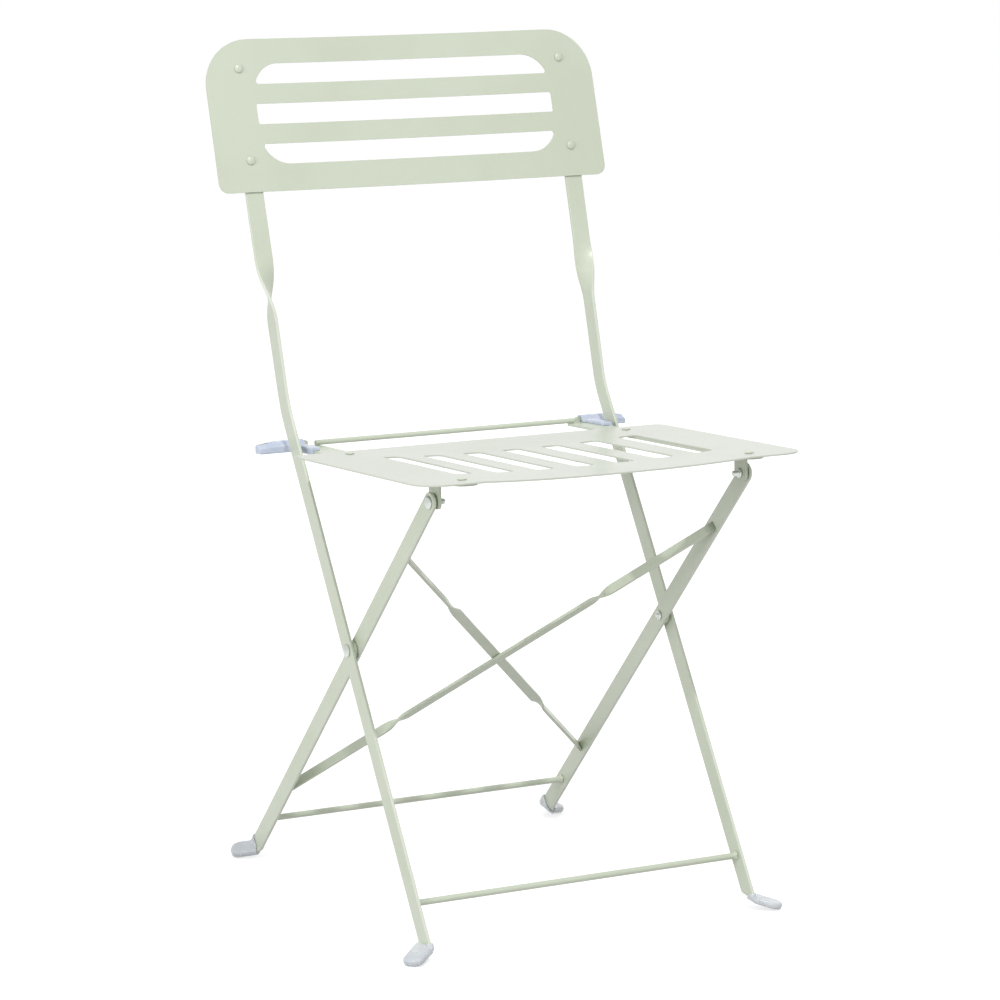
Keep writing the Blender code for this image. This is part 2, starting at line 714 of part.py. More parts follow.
def make_pivot(name, inner_face, outer_face, side, point, stub, body):
    """A pivot rivet: domed head outside, shank, tail collar inside and a short stub."""
    start = Vector((side * inner_face, point.y, point.z))
    grip = outer_face - inner_face
    tail = -TOUCH_GAP
    profile = [(tail - stub, STUB_RADIUS * 0.7), (tail - stub + STUB_RADIUS * 0.4, STUB_RADIUS),
               (tail - PIVOT_TAIL_RISE, STUB_RADIUS), (tail - PIVOT_TAIL_RISE, PIVOT_TAIL * 0.75),
               (tail - PIVOT_TAIL_RISE * 0.4, PIVOT_TAIL), (tail, PIVOT_TAIL), (tail, PIVOT_SHANK),
               (grip + TOUCH_GAP, PIVOT_SHANK)]
    profile += [(grip + TOUCH_GAP + rise, radius) for rise, radius in dome(PIVOT_HEAD, PIVOT_HEAD_RISE)]
    turned(name, start, ACROSS_X * side, profile, painted(name), body)


def make_pivots(side, word):
    front_inner = FRONT_MID_X - HALF_THICK
    front_outer = FRONT_MID_X + HALF_THICK
    rear_inner = REAR_MID_X - HALF_THICK
    rear_outer = REAR_MID_X + HALF_THICK
    tab_outer = rear_inner - TAB_TO_LEG
    hole = PIVOT_SHANK + HOLE_CLEARANCE
    make_pivot(f"cross_rivet_{word}", rear_inner, front_outer, side, CROSS, CROSS_STUB, BACK_BODY)
    make_pivot(f"seat_pivot_rivet_{word}", tab_outer - RAIL_THICK, rear_outer, side, SEAT_PIVOT,
               SEAT_PIVOT_STUB, REAR_BODY)
    for name, low, high, radius, point in (
            (f"cross_washer_{word}", rear_outer, front_inner, CROSS_WASHER_RADIUS, CROSS),
            (f"seat_pivot_washer_{word}", tab_outer, rear_inner, SEAT_WASHER_RADIUS, SEAT_PIVOT)):
        start = Vector((side * (low + TOUCH_GAP), point.y, point.z))
        washer(name, start, ACROSS_X * side, high - low - 2 * TOUCH_GAP, hole, radius, painted(name), REAR_BODY)


# Seat

def dish(x, depth):
    """Depth of the shallow dish pressed into the seat between its two rails."""
    across = max(1 - (abs(x) / RAIL_INNER_X) ** DISH_POWER, 0.0)
    share = 1.0
    if depth < SEAT_SLOT_FRONT:
        share = DISH_FRONT_SHARE + (1 - DISH_FRONT_SHARE) * depth / SEAT_SLOT_FRONT
    if depth > SEAT_SLOT_REAR:
        fade = (depth - SEAT_SLOT_REAR) / (SEAT_DEPTH - SEAT_SLOT_REAR)
        share = (1 + math.cos(math.pi * min(fade, 1.0))) / 2
    return SEAT_DISH * across * share


def seat_face(x, depth):
    return seat_point(x, depth, -dish(x, depth)), SEAT_UP


def make_seat_panel():
    half = SEAT_HALF_WIDTH
    outline = rounded([(-half, 0, SEAT_FRONT_RADIUS), (half, 0, SEAT_FRONT_RADIUS),
                       (half, SEAT_DEPTH, SEAT_REAR_RADIUS), (-half, SEAT_DEPTH, SEAT_REAR_RADIUS)])
    middles = [SEAT_SLOT_PITCH * (k - (SEAT_SLOTS - 1) / 2) for k in range(SEAT_SLOTS)]
    holes = []
    for middle in middles:
        low = middle - SEAT_SLOT_WIDTH / 2
        high = middle + SEAT_SLOT_WIDTH / 2
        holes.append(rounded([(low, SEAT_SLOT_FRONT, SEAT_SLOT_RADIUS), (high, SEAT_SLOT_FRONT, SEAT_SLOT_RADIUS),
                              (high, SEAT_SLOT_REAR, SEAT_SLOT_RADIUS), (low, SEAT_SLOT_REAR, SEAT_SLOT_RADIUS)]))
    holes += [circle(side * SEAT_RIVET_X, depth, RIVET_SHANK + HOLE_CLEARANCE)
              for side in (-1, 1) for depth in SEAT_RIVET_DEPTHS]
    rear = SEAT_DEPTH - SEAT_SLOT_REAR
    depths = [SEAT_SLOT_FRONT * share for share in (1 / 3, 2 / 3)]
    depths += [SEAT_SLOT_REAR + rear * share for share in (0.25, 0.5, 0.75)]
    creases = [Vector((middle, depth)) for middle in middles for depth in depths]
    creases += [[Vector((x, 0)), Vector((x, SEAT_DEPTH))] for x in (-RAIL_INNER_X, RAIL_INNER_X)]
    pressed("seat_panel", divided(outline, SEAT_SLOT_PITCH / 2), holes, creases, SHEET_THICK, seat_face,
            painted("seat_panel"), SEAT_BODY)


def rail_face(x, depth):
    """Place and normal on a rail's upper face: the tab turns down at its side, the lip up at its rear."""
    top = -SHEET_THICK - TOUCH_GAP
    tab_fold = RAIL_OUTER_X - TAB_BEND_RADIUS
    lip_fold = HOOK_FRONT + HOOK_DEPTH - LIP_BEND_RADIUS - RAIL_THICK
    in_tab = abs(depth - SEAT_FRONT_OVERHANG) < TAB_WIDTH / 2 + TOUCH_GAP
    if in_tab and x > tab_fold:
        run = x - tab_fold
        turn = min(run / TAB_BEND_RADIUS, math.pi / 2)
        below = max(run - TAB_BEND_RADIUS * math.pi / 2, 0.0)
        out = tab_fold + TAB_BEND_RADIUS * math.sin(turn)
        height = top - TAB_BEND_RADIUS * (1 - math.cos(turn)) - below
        return seat_point(out, depth, height), ACROSS_X * math.sin(turn) + SEAT_UP * math.cos(turn)
    if depth > lip_fold:
        run = depth - lip_fold
        turn = min(run / LIP_BEND_RADIUS, math.pi / 2)
        above = max(run - LIP_BEND_RADIUS * math.pi / 2, 0.0)
        back = lip_fold + LIP_BEND_RADIUS * math.sin(turn)
        height = top + LIP_BEND_RADIUS * (1 - math.cos(turn)) + above
        return seat_point(x, back, height), SEAT_UP * math.cos(turn) - SEAT_BACK * math.sin(turn)
    return seat_point(x, depth, top), SEAT_UP


RAIL_OUTER_X = RAIL_INNER_X + RAIL_WIDTH


def make_seat_rail(name, side):
    """One rail, cut flat with its tab and hook and then bent."""
    tab_fold = RAIL_OUTER_X - TAB_BEND_RADIUS
    tab_drop = SEAT_ABOVE_PIVOT + TAB_BELOW_PIVOT - SHEET_THICK - TOUCH_GAP - TAB_BEND_RADIUS
    tab_end = tab_fold + TAB_BEND_RADIUS * math.pi / 2 + tab_drop
    tab_front = SEAT_FRONT_OVERHANG - TAB_WIDTH / 2
    tab_rear = SEAT_FRONT_OVERHANG + TAB_WIDTH / 2
    lip_fold = HOOK_FRONT + HOOK_DEPTH - LIP_BEND_RADIUS - RAIL_THICK
    lip_end = lip_fold + LIP_BEND_RADIUS * math.pi / 2 + LIP_HEIGHT - LIP_BEND_RADIUS
    end_radius = RAIL_WIDTH / 2 * 0.98
    small = RAIL_THICK / 5
    relief_end = TAB_RELIEF * 0.45
    outline = rounded([
        (RAIL_INNER_X, RAIL_FRONT, end_radius), (RAIL_OUTER_X, RAIL_FRONT, end_radius),
        (RAIL_OUTER_X, tab_front - TAB_RELIEF, small), (tab_fold, tab_front - TAB_RELIEF, relief_end),
        (tab_fold, tab_front, relief_end), (tab_end, tab_front, TAB_CORNER),
        (tab_end, tab_rear, TAB_CORNER), (tab_fold, tab_rear, relief_end),
        (tab_fold, tab_rear + TAB_RELIEF, relief_end), (RAIL_OUTER_X, tab_rear + TAB_RELIEF, small),
        (RAIL_OUTER_X, HOOK_FRONT, HOOK_FILLET), (HOOK_REACH_X, HOOK_FRONT, HOOK_CORNER / 2),
        (HOOK_REACH_X, lip_end, HOOK_CORNER), (LIP_INNER_X, lip_end, HOOK_CORNER),
        (LIP_INNER_X, lip_fold, small), (RAIL_INNER_X, lip_fold, HOOK_CORNER)])
    outline = divided(outline, RAIL_WIDTH * 2)
    holes = [circle(SEAT_RIVET_X, depth, RIVET_SHANK + HOLE_CLEARANCE) for depth in SEAT_RIVET_DEPTHS]
    pivot_x = tab_end - TAB_BELOW_PIVOT
    holes.append(circle(pivot_x, SEAT_FRONT_OVERHANG, PIVOT_SHANK + HOLE_CLEARANCE))
    creases = []
    for k in range(5):
        line = tab_fold + TAB_BEND_RADIUS * math.pi / 2 * k / 4
        creases.append([Vector((line, tab_front)), Vector((line, tab_rear))])
        line = lip_fold + LIP_BEND_RADIUS * math.pi / 2 * k / 4
        creases.append([Vector((LIP_INNER_X, line)), Vector((HOOK_REACH_X, line))])

    def face(x, depth):
        point, normal = rail_face(x, depth)
        flip = Vector((side, 1, 1))
        return point * flip, normal * flip

    pressed(name, outline, holes, creases, RAIL_THICK, face, painted(name), SEAT_BODY)


def make_seat_rivets():
    grip = SHEET_THICK + TOUCH_GAP + RAIL_THICK
    for side, word in ((-1, "left"), (1, "right")):
        for depth, level in zip(SEAT_RIVET_DEPTHS, ("front", "rear")):
            name = f"seat_rivet_{word}_{level}"
            riveted(name, seat_point(side * SEAT_RIVET_X, depth, 0), SEAT_UP, grip, painted(name), SEAT_BODY)


def make_rear_rod():
    height = REAR_ROD_RADIUS - SHEET_THICK
    start = seat_point(-REAR_ROD_HALF, REAR_ROD_DEPTH, height)
    ends = [(0, REAR_ROD_RADIUS * 0.7), (REAR_ROD_RADIUS * 0.3, REAR_ROD_RADIUS)]
    profile = ends + [(2 * REAR_ROD_HALF - distance, radius) for distance, radius in reversed(ends)]
    turned("rear_rod", start, ACROSS_X, profile, painted("rear_rod"), SEAT_BODY)


def prism(outline, low, high, frame):
    """A straight-sided cutter over an outline of (x, depth) points."""
    rings = [[frame(x, depth, height) for x, depth in outline] for height in (low, high)]
    return loft("cutter", rings, None, FIXED)


def make_hook_cover(name, side):
    """A clear cover over the hook behind an upright, with a guard along the rail beside it."""
    rail_top = -SHEET_THICK - TOUCH_GAP
    rail_low = rail_top - RAIL_THICK
    free = TOUCH_GAP
    wall = COVER_WALL + free
    front = HOOK_FRONT - wall
    rear = HOOK_FRONT + HOOK_DEPTH + wall
    lip_top = rail_top + LIP_HEIGHT
    low = rail_low - free - COVER_SOLE
    high = lip_top + free + COVER_TOP_WALL
    corner = COVER_WALL / 2

    def frame(x, depth, height):
        return seat_point(side * x, depth, height)

    def hook_ring(x, cut):
        section = [(front, low + corner), (front + corner, low), (rear - corner, low), (rear, low + corner),
                   (rear, high - cut - corner), (rear - corner, high - cut), (rear - COVER_CROWN, high - cut),
                   (front, -cut / 2)]
        return [frame(x, depth, height) for depth, height in section]

    end = HOOK_REACH_X + wall
    rings = [hook_ring(COVER_MOUTH_X, 0), hook_ring(end - COVER_TAPER, 0),
             hook_ring(end - corner, COVER_TAPER_DROP), hook_ring(end, COVER_TAPER_DROP + corner)]
    cover = loft(name, rings, clear_plastic(name), SEAT_BODY)
    guard_low = low + corner / 4
    guard_top = rail_top + COVER_GUARD_RISE
    guard_outer = RAIL_OUTER_X + free + COVER_GUARD_WALL

    def guard_ring(depth, cut):
        section = [(COVER_GUARD_INNER_X, guard_low + corner), (COVER_GUARD_INNER_X + corner, guard_low),
                   (guard_outer - corner, guard_low), (guard_outer, guard_low + corner),
                   (guard_outer, guard_top - cut - corner), (guard_outer - corner, guard_top - cut),
                   (COVER_GUARD_INNER_X + corner, guard_top - cut), (COVER_GUARD_INNER_X, guard_top - cut - corner)]
        return [frame(x, depth, height) for x, height in section]

    guard = loft("guard", [guard_ring(COVER_GUARD_FRONT, corner), guard_ring(COVER_GUARD_FRONT + corner, 0),
                           guard_ring(front + wall, 0)], None, FIXED)
    combine(cover, [guard], "UNION")
    back = HOOK_FRONT + HOOK_DEPTH + free
    before = COVER_MOUTH_X - RAIL_WIDTH
    ahead = COVER_GUARD_FRONT - RAIL_WIDTH
    strip = [(before, ahead), (RAIL_OUTER_X + free, ahead), (RAIL_OUTER_X + free, HOOK_FRONT - free - HOOK_FILLET),
             (RAIL_OUTER_X + free + HOOK_FILLET, HOOK_FRONT - free), (HOOK_REACH_X + free, HOOK_FRONT - free),
             (HOOK_REACH_X + free, back), (before, back)]
    lip_front = back - RAIL_THICK - LIP_BEND_RADIUS - 3 * free
    lip_end = HOOK_REACH_X + free * 1.5
    lip = [(before - free, lip_front), (lip_end, lip_front), (lip_end, back + free / 2),
           (before - free, back + free / 2)]
    combine(cover, [prism(strip, rail_low - free, rail_top + free, frame),
                    prism(lip, rail_low + free, lip_top + free, frame)])


clear_scene()
FIXED = add_body("shop_frame", Vector((0, 0, 0)))
BACK_BODY = add_body("back_frame", Vector((0, 0, 0)))
REAR_BODY = add_body("rear_leg_frame", CROSS)
SEAT_BODY = add_body("seat_frame", SEAT_PIVOT)

make_back_panel()
make_back_rivets()
make_crossbar("front_crossbar", FRONT_LEG, FRONT_CROSSBAR_HEIGHT, BACK_BODY)
make_crossbar("rear_crossbar", REAR_LEG, REAR_CROSSBAR_HEIGHT, REAR_BODY)
stack = (BRACE_THICK + TOUCH_GAP) / 2
make_brace("brace_bar_over", 1, stack)
make_brace("brace_bar_under", -1, -stack)
make_seat_panel()
make_seat_rivets()
make_rear_rod()
for side, word in ((-1, "left"), (1, "right")):
    make_upright(f"upright_{word}", side)
    make_foot_cap(f"front_foot_cap_{word}", FRONT_LEG, side, FRONT_CAP_SOLE, FRONT_MOUTH, FRONT_MOUTH_TILT,
                  BACK_BODY)
    make_rear_leg(f"rear_leg_{word}", side)
    make_foot_cap(f"rear_foot_cap_{word}", REAR_LEG, side, REAR_CAP_SOLE, REAR_MOUTH, REAR_MOUTH_TILT,
                  REAR_BODY)
    make_pivots(side, word)
    make_seat_rail(f"seat_rail_{word}", side)
    make_hook_cover(f"hook_cover_{word}", side)

for obj in bpy.data.objects:
    if obj.type == "MESH":
        print(obj.name, len(obj.data.polygons), "faces")
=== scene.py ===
# %% [markdown]
# A folding garden chair of flat steel bars, under one coat of pale green powder paint. The packed
# solids give every place and size, so the chair is loaded first.

# %% Load the imported chair
import math
import bmesh
import bpy
import numpy as np
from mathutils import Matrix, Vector
from mathutils.geometry import delaunay_2d_cdt


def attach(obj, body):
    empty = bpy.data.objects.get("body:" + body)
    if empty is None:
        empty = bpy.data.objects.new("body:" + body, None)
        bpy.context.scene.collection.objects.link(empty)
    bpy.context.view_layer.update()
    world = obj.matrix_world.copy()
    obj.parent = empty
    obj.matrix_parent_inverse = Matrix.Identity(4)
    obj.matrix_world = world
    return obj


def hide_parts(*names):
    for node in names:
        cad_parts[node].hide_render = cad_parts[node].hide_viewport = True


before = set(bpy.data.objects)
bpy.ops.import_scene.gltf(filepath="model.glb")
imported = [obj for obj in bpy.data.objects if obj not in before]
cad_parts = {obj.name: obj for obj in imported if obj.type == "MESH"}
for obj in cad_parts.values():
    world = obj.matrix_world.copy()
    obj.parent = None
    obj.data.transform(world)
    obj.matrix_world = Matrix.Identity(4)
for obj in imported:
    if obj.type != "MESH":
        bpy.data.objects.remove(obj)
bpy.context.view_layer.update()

# %% [markdown]
# The picture is taken from the front left, well above the seat, with a long lens. The camera goes
# in first, so that every trial render can be laid beside the photograph.

# %% Camera
EYE = np.array((-1.71897, -3.21033, 1.04499))
AIM = np.array((0.01003, 0.02154, 0.37539))
LENS_MM = 140.14
SENSOR_MM = 36.0

camera = bpy.data.objects.new("camera", bpy.data.cameras.new("camera"))
camera.data.lens = LENS_MM
camera.data.sensor_width = SENSOR_MM
camera.location = EYE
camera.rotation_euler = Vector(AIM - EYE).to_track_quat("-Z", "Y").to_euler()
bpy.context.collection.objects.link(camera)
bpy.context.scene.camera = camera
print("camera", round(float(np.linalg.norm(AIM - EYE)), 3), "m from the chair")

# %% [markdown]
# Powder paint is sprayed dry and baked. It melts into a satin skin with a faint orange peel, and
# hands leave the gloss slightly uneven. Both effects come back in every painted piece, so each is
# a node group that puts out a value, and each material uses it with its own numbers.

# %% Node group helpers
def new_group(name, inputs, outputs):
    """An empty shader group with its sockets: (name, type, default) in, (name, type) out."""
    group = bpy.data.node_groups.new(name, "ShaderNodeTree")
    for label, kind, value in inputs:
        socket = group.interface.new_socket(label, in_out="INPUT", socket_type=kind)
        if value is not None:
            socket.default_value = value
    for label, kind in outputs:
        group.interface.new_socket(label, in_out="OUTPUT", socket_type=kind)
    return group, group.nodes.new("NodeGroupInput"), group.nodes.new("NodeGroupOutput")


def set_inputs(node, values):
    """Gives a node's inputs their values by name."""
    for label, value in values.items():
        node.inputs[label].default_value = value


def noise(tree, vector, scale, detail):
    """A noise texture's value; the scale is a number or a socket."""
    node = tree.nodes.new("ShaderNodeTexNoise")
    node.inputs["Detail"].default_value = detail
    tree.links.new(vector, node.inputs["Vector"])
    if isinstance(scale, float):
        node.inputs["Scale"].default_value = scale
    else:
        tree.links.new(scale, node.inputs["Scale"])
    return node.outputs["Fac"]


def spread(tree, value, low, high, to_low, to_high):
    """Maps a value from one range to another with soft ends."""
    node = tree.nodes.new("ShaderNodeMapRange")
    node.interpolation_type = "SMOOTHSTEP"
    set_inputs(node, {"From Min": low, "From Max": high, "To Min": to_low, "To Max": to_high})
    tree.links.new(value, node.inputs["Value"])
    return node.outputs["Result"]


def maths(tree, operation, first, second):
    """One sum, product or larger value; each input is a number or a socket."""
    node = tree.nodes.new("ShaderNodeMath")
    node.operation = operation
    for socket, value in zip(node.inputs, (first, second)):
        if isinstance(value, float):
            socket.default_value = value
        else:
            tree.links.new(value, socket)
    return node.outputs["Value"]


# %% Orange peel and handling, as groups
PEEL_FINER = 3.7
PEEL_FINE_SHARE = 0.3
CLOUD_RANGE = (0.38, 0.68)
DUST_FINER = 130.0
DUST_RANGE = (0.70, 0.76)

peel_group, entry, exit_ = new_group(
    "orange_peel", [("Vector", "NodeSocketVector", None), ("Scale", "NodeSocketFloat", 420.0)],
    [("Height", "NodeSocketFloat")])
slow = noise(peel_group, entry.outputs["Vector"], entry.outputs["Scale"], 1.5)
fast_scale = maths(peel_group, "MULTIPLY", entry.outputs["Scale"], PEEL_FINER)
fast = noise(peel_group, entry.outputs["Vector"], fast_scale, 2.0)
ripple = maths(peel_group, "MULTIPLY", fast, PEEL_FINE_SHARE)
peel_group.links.new(maths(peel_group, "ADD", slow, ripple), exit_.inputs["Height"])

touch_group, entry, exit_ = new_group(
    "handling", [("Vector", "NodeSocketVector", None), ("Scale", "NodeSocketFloat", 9.0)],
    [("Mask", "NodeSocketFloat"), ("Specks", "NodeSocketFloat")])
cloud = noise(touch_group, entry.outputs["Vector"], entry.outputs["Scale"], 3.0)
touch_group.links.new(spread(touch_group, cloud, *CLOUD_RANGE, 0.0, 1.0), exit_.inputs["Mask"])
dust_scale = maths(touch_group, "MULTIPLY", entry.outputs["Scale"], DUST_FINER)
dust = noise(touch_group, entry.outputs["Vector"], dust_scale, 0.0)
touch_group.links.new(spread(touch_group, dust, *DUST_RANGE, 0.0, 1.0), exit_.inputs["Specks"])
print("groups", [group.name for group in bpy.data.node_groups])

# %% [markdown]
# Every surface here drifts between two close colours and two degrees of gloss. A bar's rolled
# edges, and the lit front narrow face of a leg or upright, carry a painted highlight, a paler colour
# mixed in; the bar's own mesh carries its share as an attribute, so the line follows the edge
# through every bend and twist, which no pattern in space could do. The seat is seen at a low angle
# and mirrors most of the pale surroundings, so its coat is glossier, and its green is painted
# greyer as a painted reflection.

# %% Painted steel
SAGE = (0.556, 0.604, 0.494)
SAGE_DEEP = (0.532, 0.582, 0.466)
# The paler colour of the painted highlight on the bars' edges and lit narrow faces.
SAGE_PAINTED_HIGHLIGHT = (0.700, 0.735, 0.650)
# The seat's greens: the same paint greyed, as a painted reflection of the pale surroundings.
PAINTED_REFLECTION_SEAT_SAGE = (0.527, 0.561, 0.483)
PAINTED_REFLECTION_SEAT_SAGE_DEEP = (0.512, 0.546, 0.466)
TOUCH_SCALE = 9.0
SPECK_ROUGHNESS = 0.05
PEEL_DISTANCE = 0.0002
COAT_ROUGHNESS = 0.26


def mixed(tree, factor, first, second):
    """Mixes two colours; each is a socket or a constant."""
    node = tree.nodes.new("ShaderNodeMix")
    node.data_type = "RGBA"
    tree.links.new(factor, node.inputs["Factor"])
    for socket, value in ((node.inputs[6], first), (node.inputs[7], second)):
        if isinstance(value, tuple):
            socket.default_value = (*value, 1.0)
        else:
            tree.links.new(value, socket)
    return node.outputs[2]


def placed(tree, name, scale):
    """A group node fed with Object coordinates and its scale."""
    coordinates = tree.nodes.new("ShaderNodeTexCoord")
    node = tree.nodes.new("ShaderNodeGroup")
    node.node_tree = bpy.data.node_groups[name]
    tree.links.new(coordinates.outputs["Object"], node.inputs["Vector"])
    node.inputs["Scale"].default_value = scale
    return node.outputs


def bumped(tree, height, strength, distance):
    """A normal that follows a height value."""
    node = tree.nodes.new("ShaderNodeBump")
    set_inputs(node, {"Strength": strength, "Distance": distance})
    tree.links.new(height, node.inputs["Height"])
    return node.outputs["Normal"]


def new_material(name):
    """A material with its node tree and its main shader."""
    material = bpy.data.materials.new(name)
    material.use_nodes = True
    return material, material.node_tree, material.node_tree.nodes["Principled BSDF"]


def uneven(name, touch_scale, colours, rough, peel_scale, peel_strength, peel_distance=PEEL_DISTANCE,
           speck_roughness=0.0, highlight_share=0.0):
    """A material whose colour and gloss drift between two values, over a faint ripple. It may have
    rougher specks, and a painted highlight: a paler colour mixed in by the share a mesh stores."""
    material, tree, shader = new_material(name)
    touch = placed(tree, "handling", touch_scale)
    colour = mixed(tree, touch["Mask"], *colours)
    # Painted highlight: the paler colour is mixed in by the share the mesh stores.
    if highlight_share:
        edge = tree.nodes.new("ShaderNodeAttribute")
        edge.attribute_name = "rolled_edge"
        share = maths(tree, "MULTIPLY", edge.outputs["Fac"], highlight_share)
        colour = mixed(tree, share, colour, SAGE_PAINTED_HIGHLIGHT)
    tree.links.new(colour, shader.inputs["Base Color"])
    gloss = spread(tree, touch["Mask"], 0.0, 1.0, *rough)
    if speck_roughness:
        specks = maths(tree, "MULTIPLY", touch["Specks"], speck_roughness)
        gloss = maths(tree, "ADD", gloss, specks)
    tree.links.new(gloss, shader.inputs["Roughness"])
    peel = placed(tree, "orange_peel", peel_scale)
    normal = bumped(tree, peel["Height"], peel_strength, peel_distance)
    tree.links.new(normal, shader.inputs["Normal"])
    return material, shader


def painted_steel(name, rough, peel_scale, peel_strength, highlight_share=0.0, coat=0.18,
                  greens=(SAGE, SAGE_DEEP)):
    """Satin powder paint under its own faint clear skin."""
    material, shader = uneven(name, TOUCH_SCALE, greens, rough, peel_scale, peel_strength,
                              speck_roughness=SPECK_ROUGHNESS, highlight_share=highlight_share)
    set_inputs(shader, {"Specular IOR Level": 0.5, "Coat Weight": coat, "Coat Roughness": COAT_ROUGHNESS})
    return material


# The bars carry a painted highlight on their edges and lit narrow faces.
BAR_PAINT = painted_steel("bar_paint", (0.36, 0.44), 420.0, 0.16, highlight_share=0.55)
SHEET_PAINT = painted_steel("sheet_paint", (0.34, 0.41), 360.0, 0.12)
# The seat's paint: a glossier coat, and greens greyed as a painted reflection.
PAINTED_REFLECTION_SEAT_PAINT = painted_steel("painted_reflection_seat_paint", (0.34, 0.41), 360.0, 0.12, coat=0.65,
                           greens=(PAINTED_REFLECTION_SEAT_SAGE, PAINTED_REFLECTION_SEAT_SAGE_DEEP))
ROD_PAINT = painted_steel("rod_paint", (0.38, 0.46), 520.0, 0.20)
RIVET_PAINT = painted_steel("rivet_paint", (0.28, 0.36), 700.0, 0.14)
print("paints", [material.name for material in bpy.data.materials if material.name.endswith("paint")])

# %% [markdown]
# The pivot rivets are driven after painting, so their ends are bright zinc with a fine grain. The
# foot caps and the hook covers are clear plastic gone milky: light enters and scatters, so they
# need some transmission, a soft surface and a faint blue.

# %% Bright zinc and clear plastic
def bright_zinc(name, colours):
    material, shader = uneven(name, 60.0, colours, (0.20, 0.34), 1500.0, 0.2, 0.0001)
    set_inputs(shader, {"Metallic": 0.9})
    return material


def milky_plastic(name, colours, transmission, touch_scale):
    material, shader = uneven(name, touch_scale, colours, (0.20, 0.32), 240.0, 0.05)
    set_inputs(shader, {"Transmission Weight": transmission, "IOR": 1.45})
    return material


ZINC = bright_zinc("pivot_zinc", ((0.64, 0.67, 0.64), (0.53, 0.56, 0.53)))
CAP_PLASTIC = milky_plastic("cap_plastic", ((0.70, 0.74, 0.79), (0.79, 0.82, 0.85)), 0.30, 45.0)
COVER_PLASTIC = milky_plastic("cover_plastic", ((0.61, 0.68, 0.84), (0.72, 0.77, 0.88)), 0.22, 60.0)
print("plastics", CAP_PLASTIC.name, COVER_PLASTIC.name)

# %% [markdown]
# Most of the chair is one thing: a bar's section carried along a path. A table of numbers stands
# for the section, another for the path, and numpy multiplies them into a grid of points, which
# closes into a skin.

# %% From a grid of points to a piece
SAME_PLACE = 1e-7


def finish_piece(name, mesh, material, body, node):
    """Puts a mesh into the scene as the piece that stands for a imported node."""
    shell = bmesh.new()
    shell.from_mesh(mesh)
    bmesh.ops.remove_doubles(shell, verts=shell.verts, dist=SAME_PLACE)
    bmesh.ops.recalc_face_normals(shell, faces=shell.faces)
    shell.to_mesh(mesh)
    shell.free()
    mesh.shade_smooth()
    mesh.materials.clear()
    mesh.materials.append(material)
    obj = bpy.data.objects.new(name, mesh)
    bpy.context.collection.objects.link(obj)
    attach(obj, body)
    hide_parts(node)
    return obj


def skin(name, grid, closed_ends=True):
    """Joins a grid of rings into a mesh: ring i and its place j give point i * columns + j."""
    rows, columns = grid.shape[:2]
    i, j = np.meshgrid(np.arange(rows - 1), np.arange(columns), indexing="ij")
    following = (j + 1) % columns
    quads = np.stack((i * columns + j, i * columns + following, (i + 1) * columns + following,
                      (i + 1) * columns + j), axis=-1).reshape(-1, 4)
    faces = quads.tolist()
    if closed_ends:
        faces.append(list(range(columns))[::-1])
        faces.append(list(range((rows - 1) * columns, rows * columns)))
    mesh = bpy.data.meshes.new(name)
    mesh.from_pydata(grid.reshape(-1, 3).tolist(), [], faces)
    return mesh


def mark_painted_highlight(mesh, share, rows):
    """Stores the share of painted highlight at each point, for the paint; share is one row or all."""
    layer = mesh.attributes.new("rolled_edge", "FLOAT", "POINT")
    values = np.broadcast_to(share, (rows, share.shape[-1]))
    layer.data.foreach_set("value", values.ravel().astype(np.float32))


# %% [markdown]
# The section is a rectangle with four quarter-circle corners, as a rolling mill leaves it. Each
# place on it is written as a share of the flat part plus a share of the corner radius, so the
# same table serves every width. Extra places beside each corner keep the flat faces flat in the
# shading, and those across the wide faces let the bar bend in any direction.

# %% Section of a flat bar
HALF_WIDTH = 0.00925
HALF_THICK = 0.0015
BAR_CORNER = 0.0060
EDGE = 0.0006
GAP = 0.0003
BESIDE_CORNER = 0.97
HIGHLIGHT_SPREAD = 1.1


def section_table(columns=8, corner_steps=4):
    """Rows of (width share, width corner, thickness share, thickness corner), counter-clockwise."""
    rows = []
    flat = np.linspace(1, -1, columns + 1)[1:-1]
    for quarter, (wide, thick) in enumerate(((1, 1), (-1, 1), (-1, -1), (1, -1))):
        turn = np.radians(np.linspace(0, 90, corner_steps + 1) + 90 * quarter)
        rows += [(wide, math.cos(a), thick, math.sin(a)) for a in turn]
        if thick == wide:
            rows += [(wide * share, 0, thick, thick) for share in (BESIDE_CORNER, *flat, -BESIDE_CORNER)]
    return np.array(rows, dtype=float)


SECTION = section_table()
# Painted highlight shares: the first on the rolled corners only, the second also across the whole front
# narrow face.
EDGE_HIGHLIGHT_SHARE = np.clip(np.abs(SECTION[:, 1] * SECTION[:, 3]) * HIGHLIGHT_SPREAD, 0, 1)
FRONT_HIGHLIGHT_SHARE = np.maximum(EDGE_HIGHLIGHT_SHARE, np.clip(SECTION[:, 1], 0, 1) ** 2)


def bar_grid(centre, across, through, half_width, half_thick, edge, inset):
    """point = centre + across * w + through * t, where w = share * (half width - edge) plus the
    corner's share of (edge - inset), and t likewise; inset shrinks the corners at a rolled end."""
    wide = SECTION[:, 0] * (half_width[:, None] - edge) + SECTION[:, 1] * (edge - inset[:, None])
    thick = SECTION[:, 2] * (half_thick - edge) + SECTION[:, 3] * (edge - inset[:, None])
    return centre[:, None] + across[:, None] * wide[..., None] + through[:, None] * thick[..., None]


def cut_in(distance, radius):
    """How far a quarter circle cuts in at a distance d from its end: r - sqrt(r * r - (r - d) ** 2)."""
    return radius - np.sqrt(radius ** 2 - np.maximum(radius - distance, 0) ** 2)


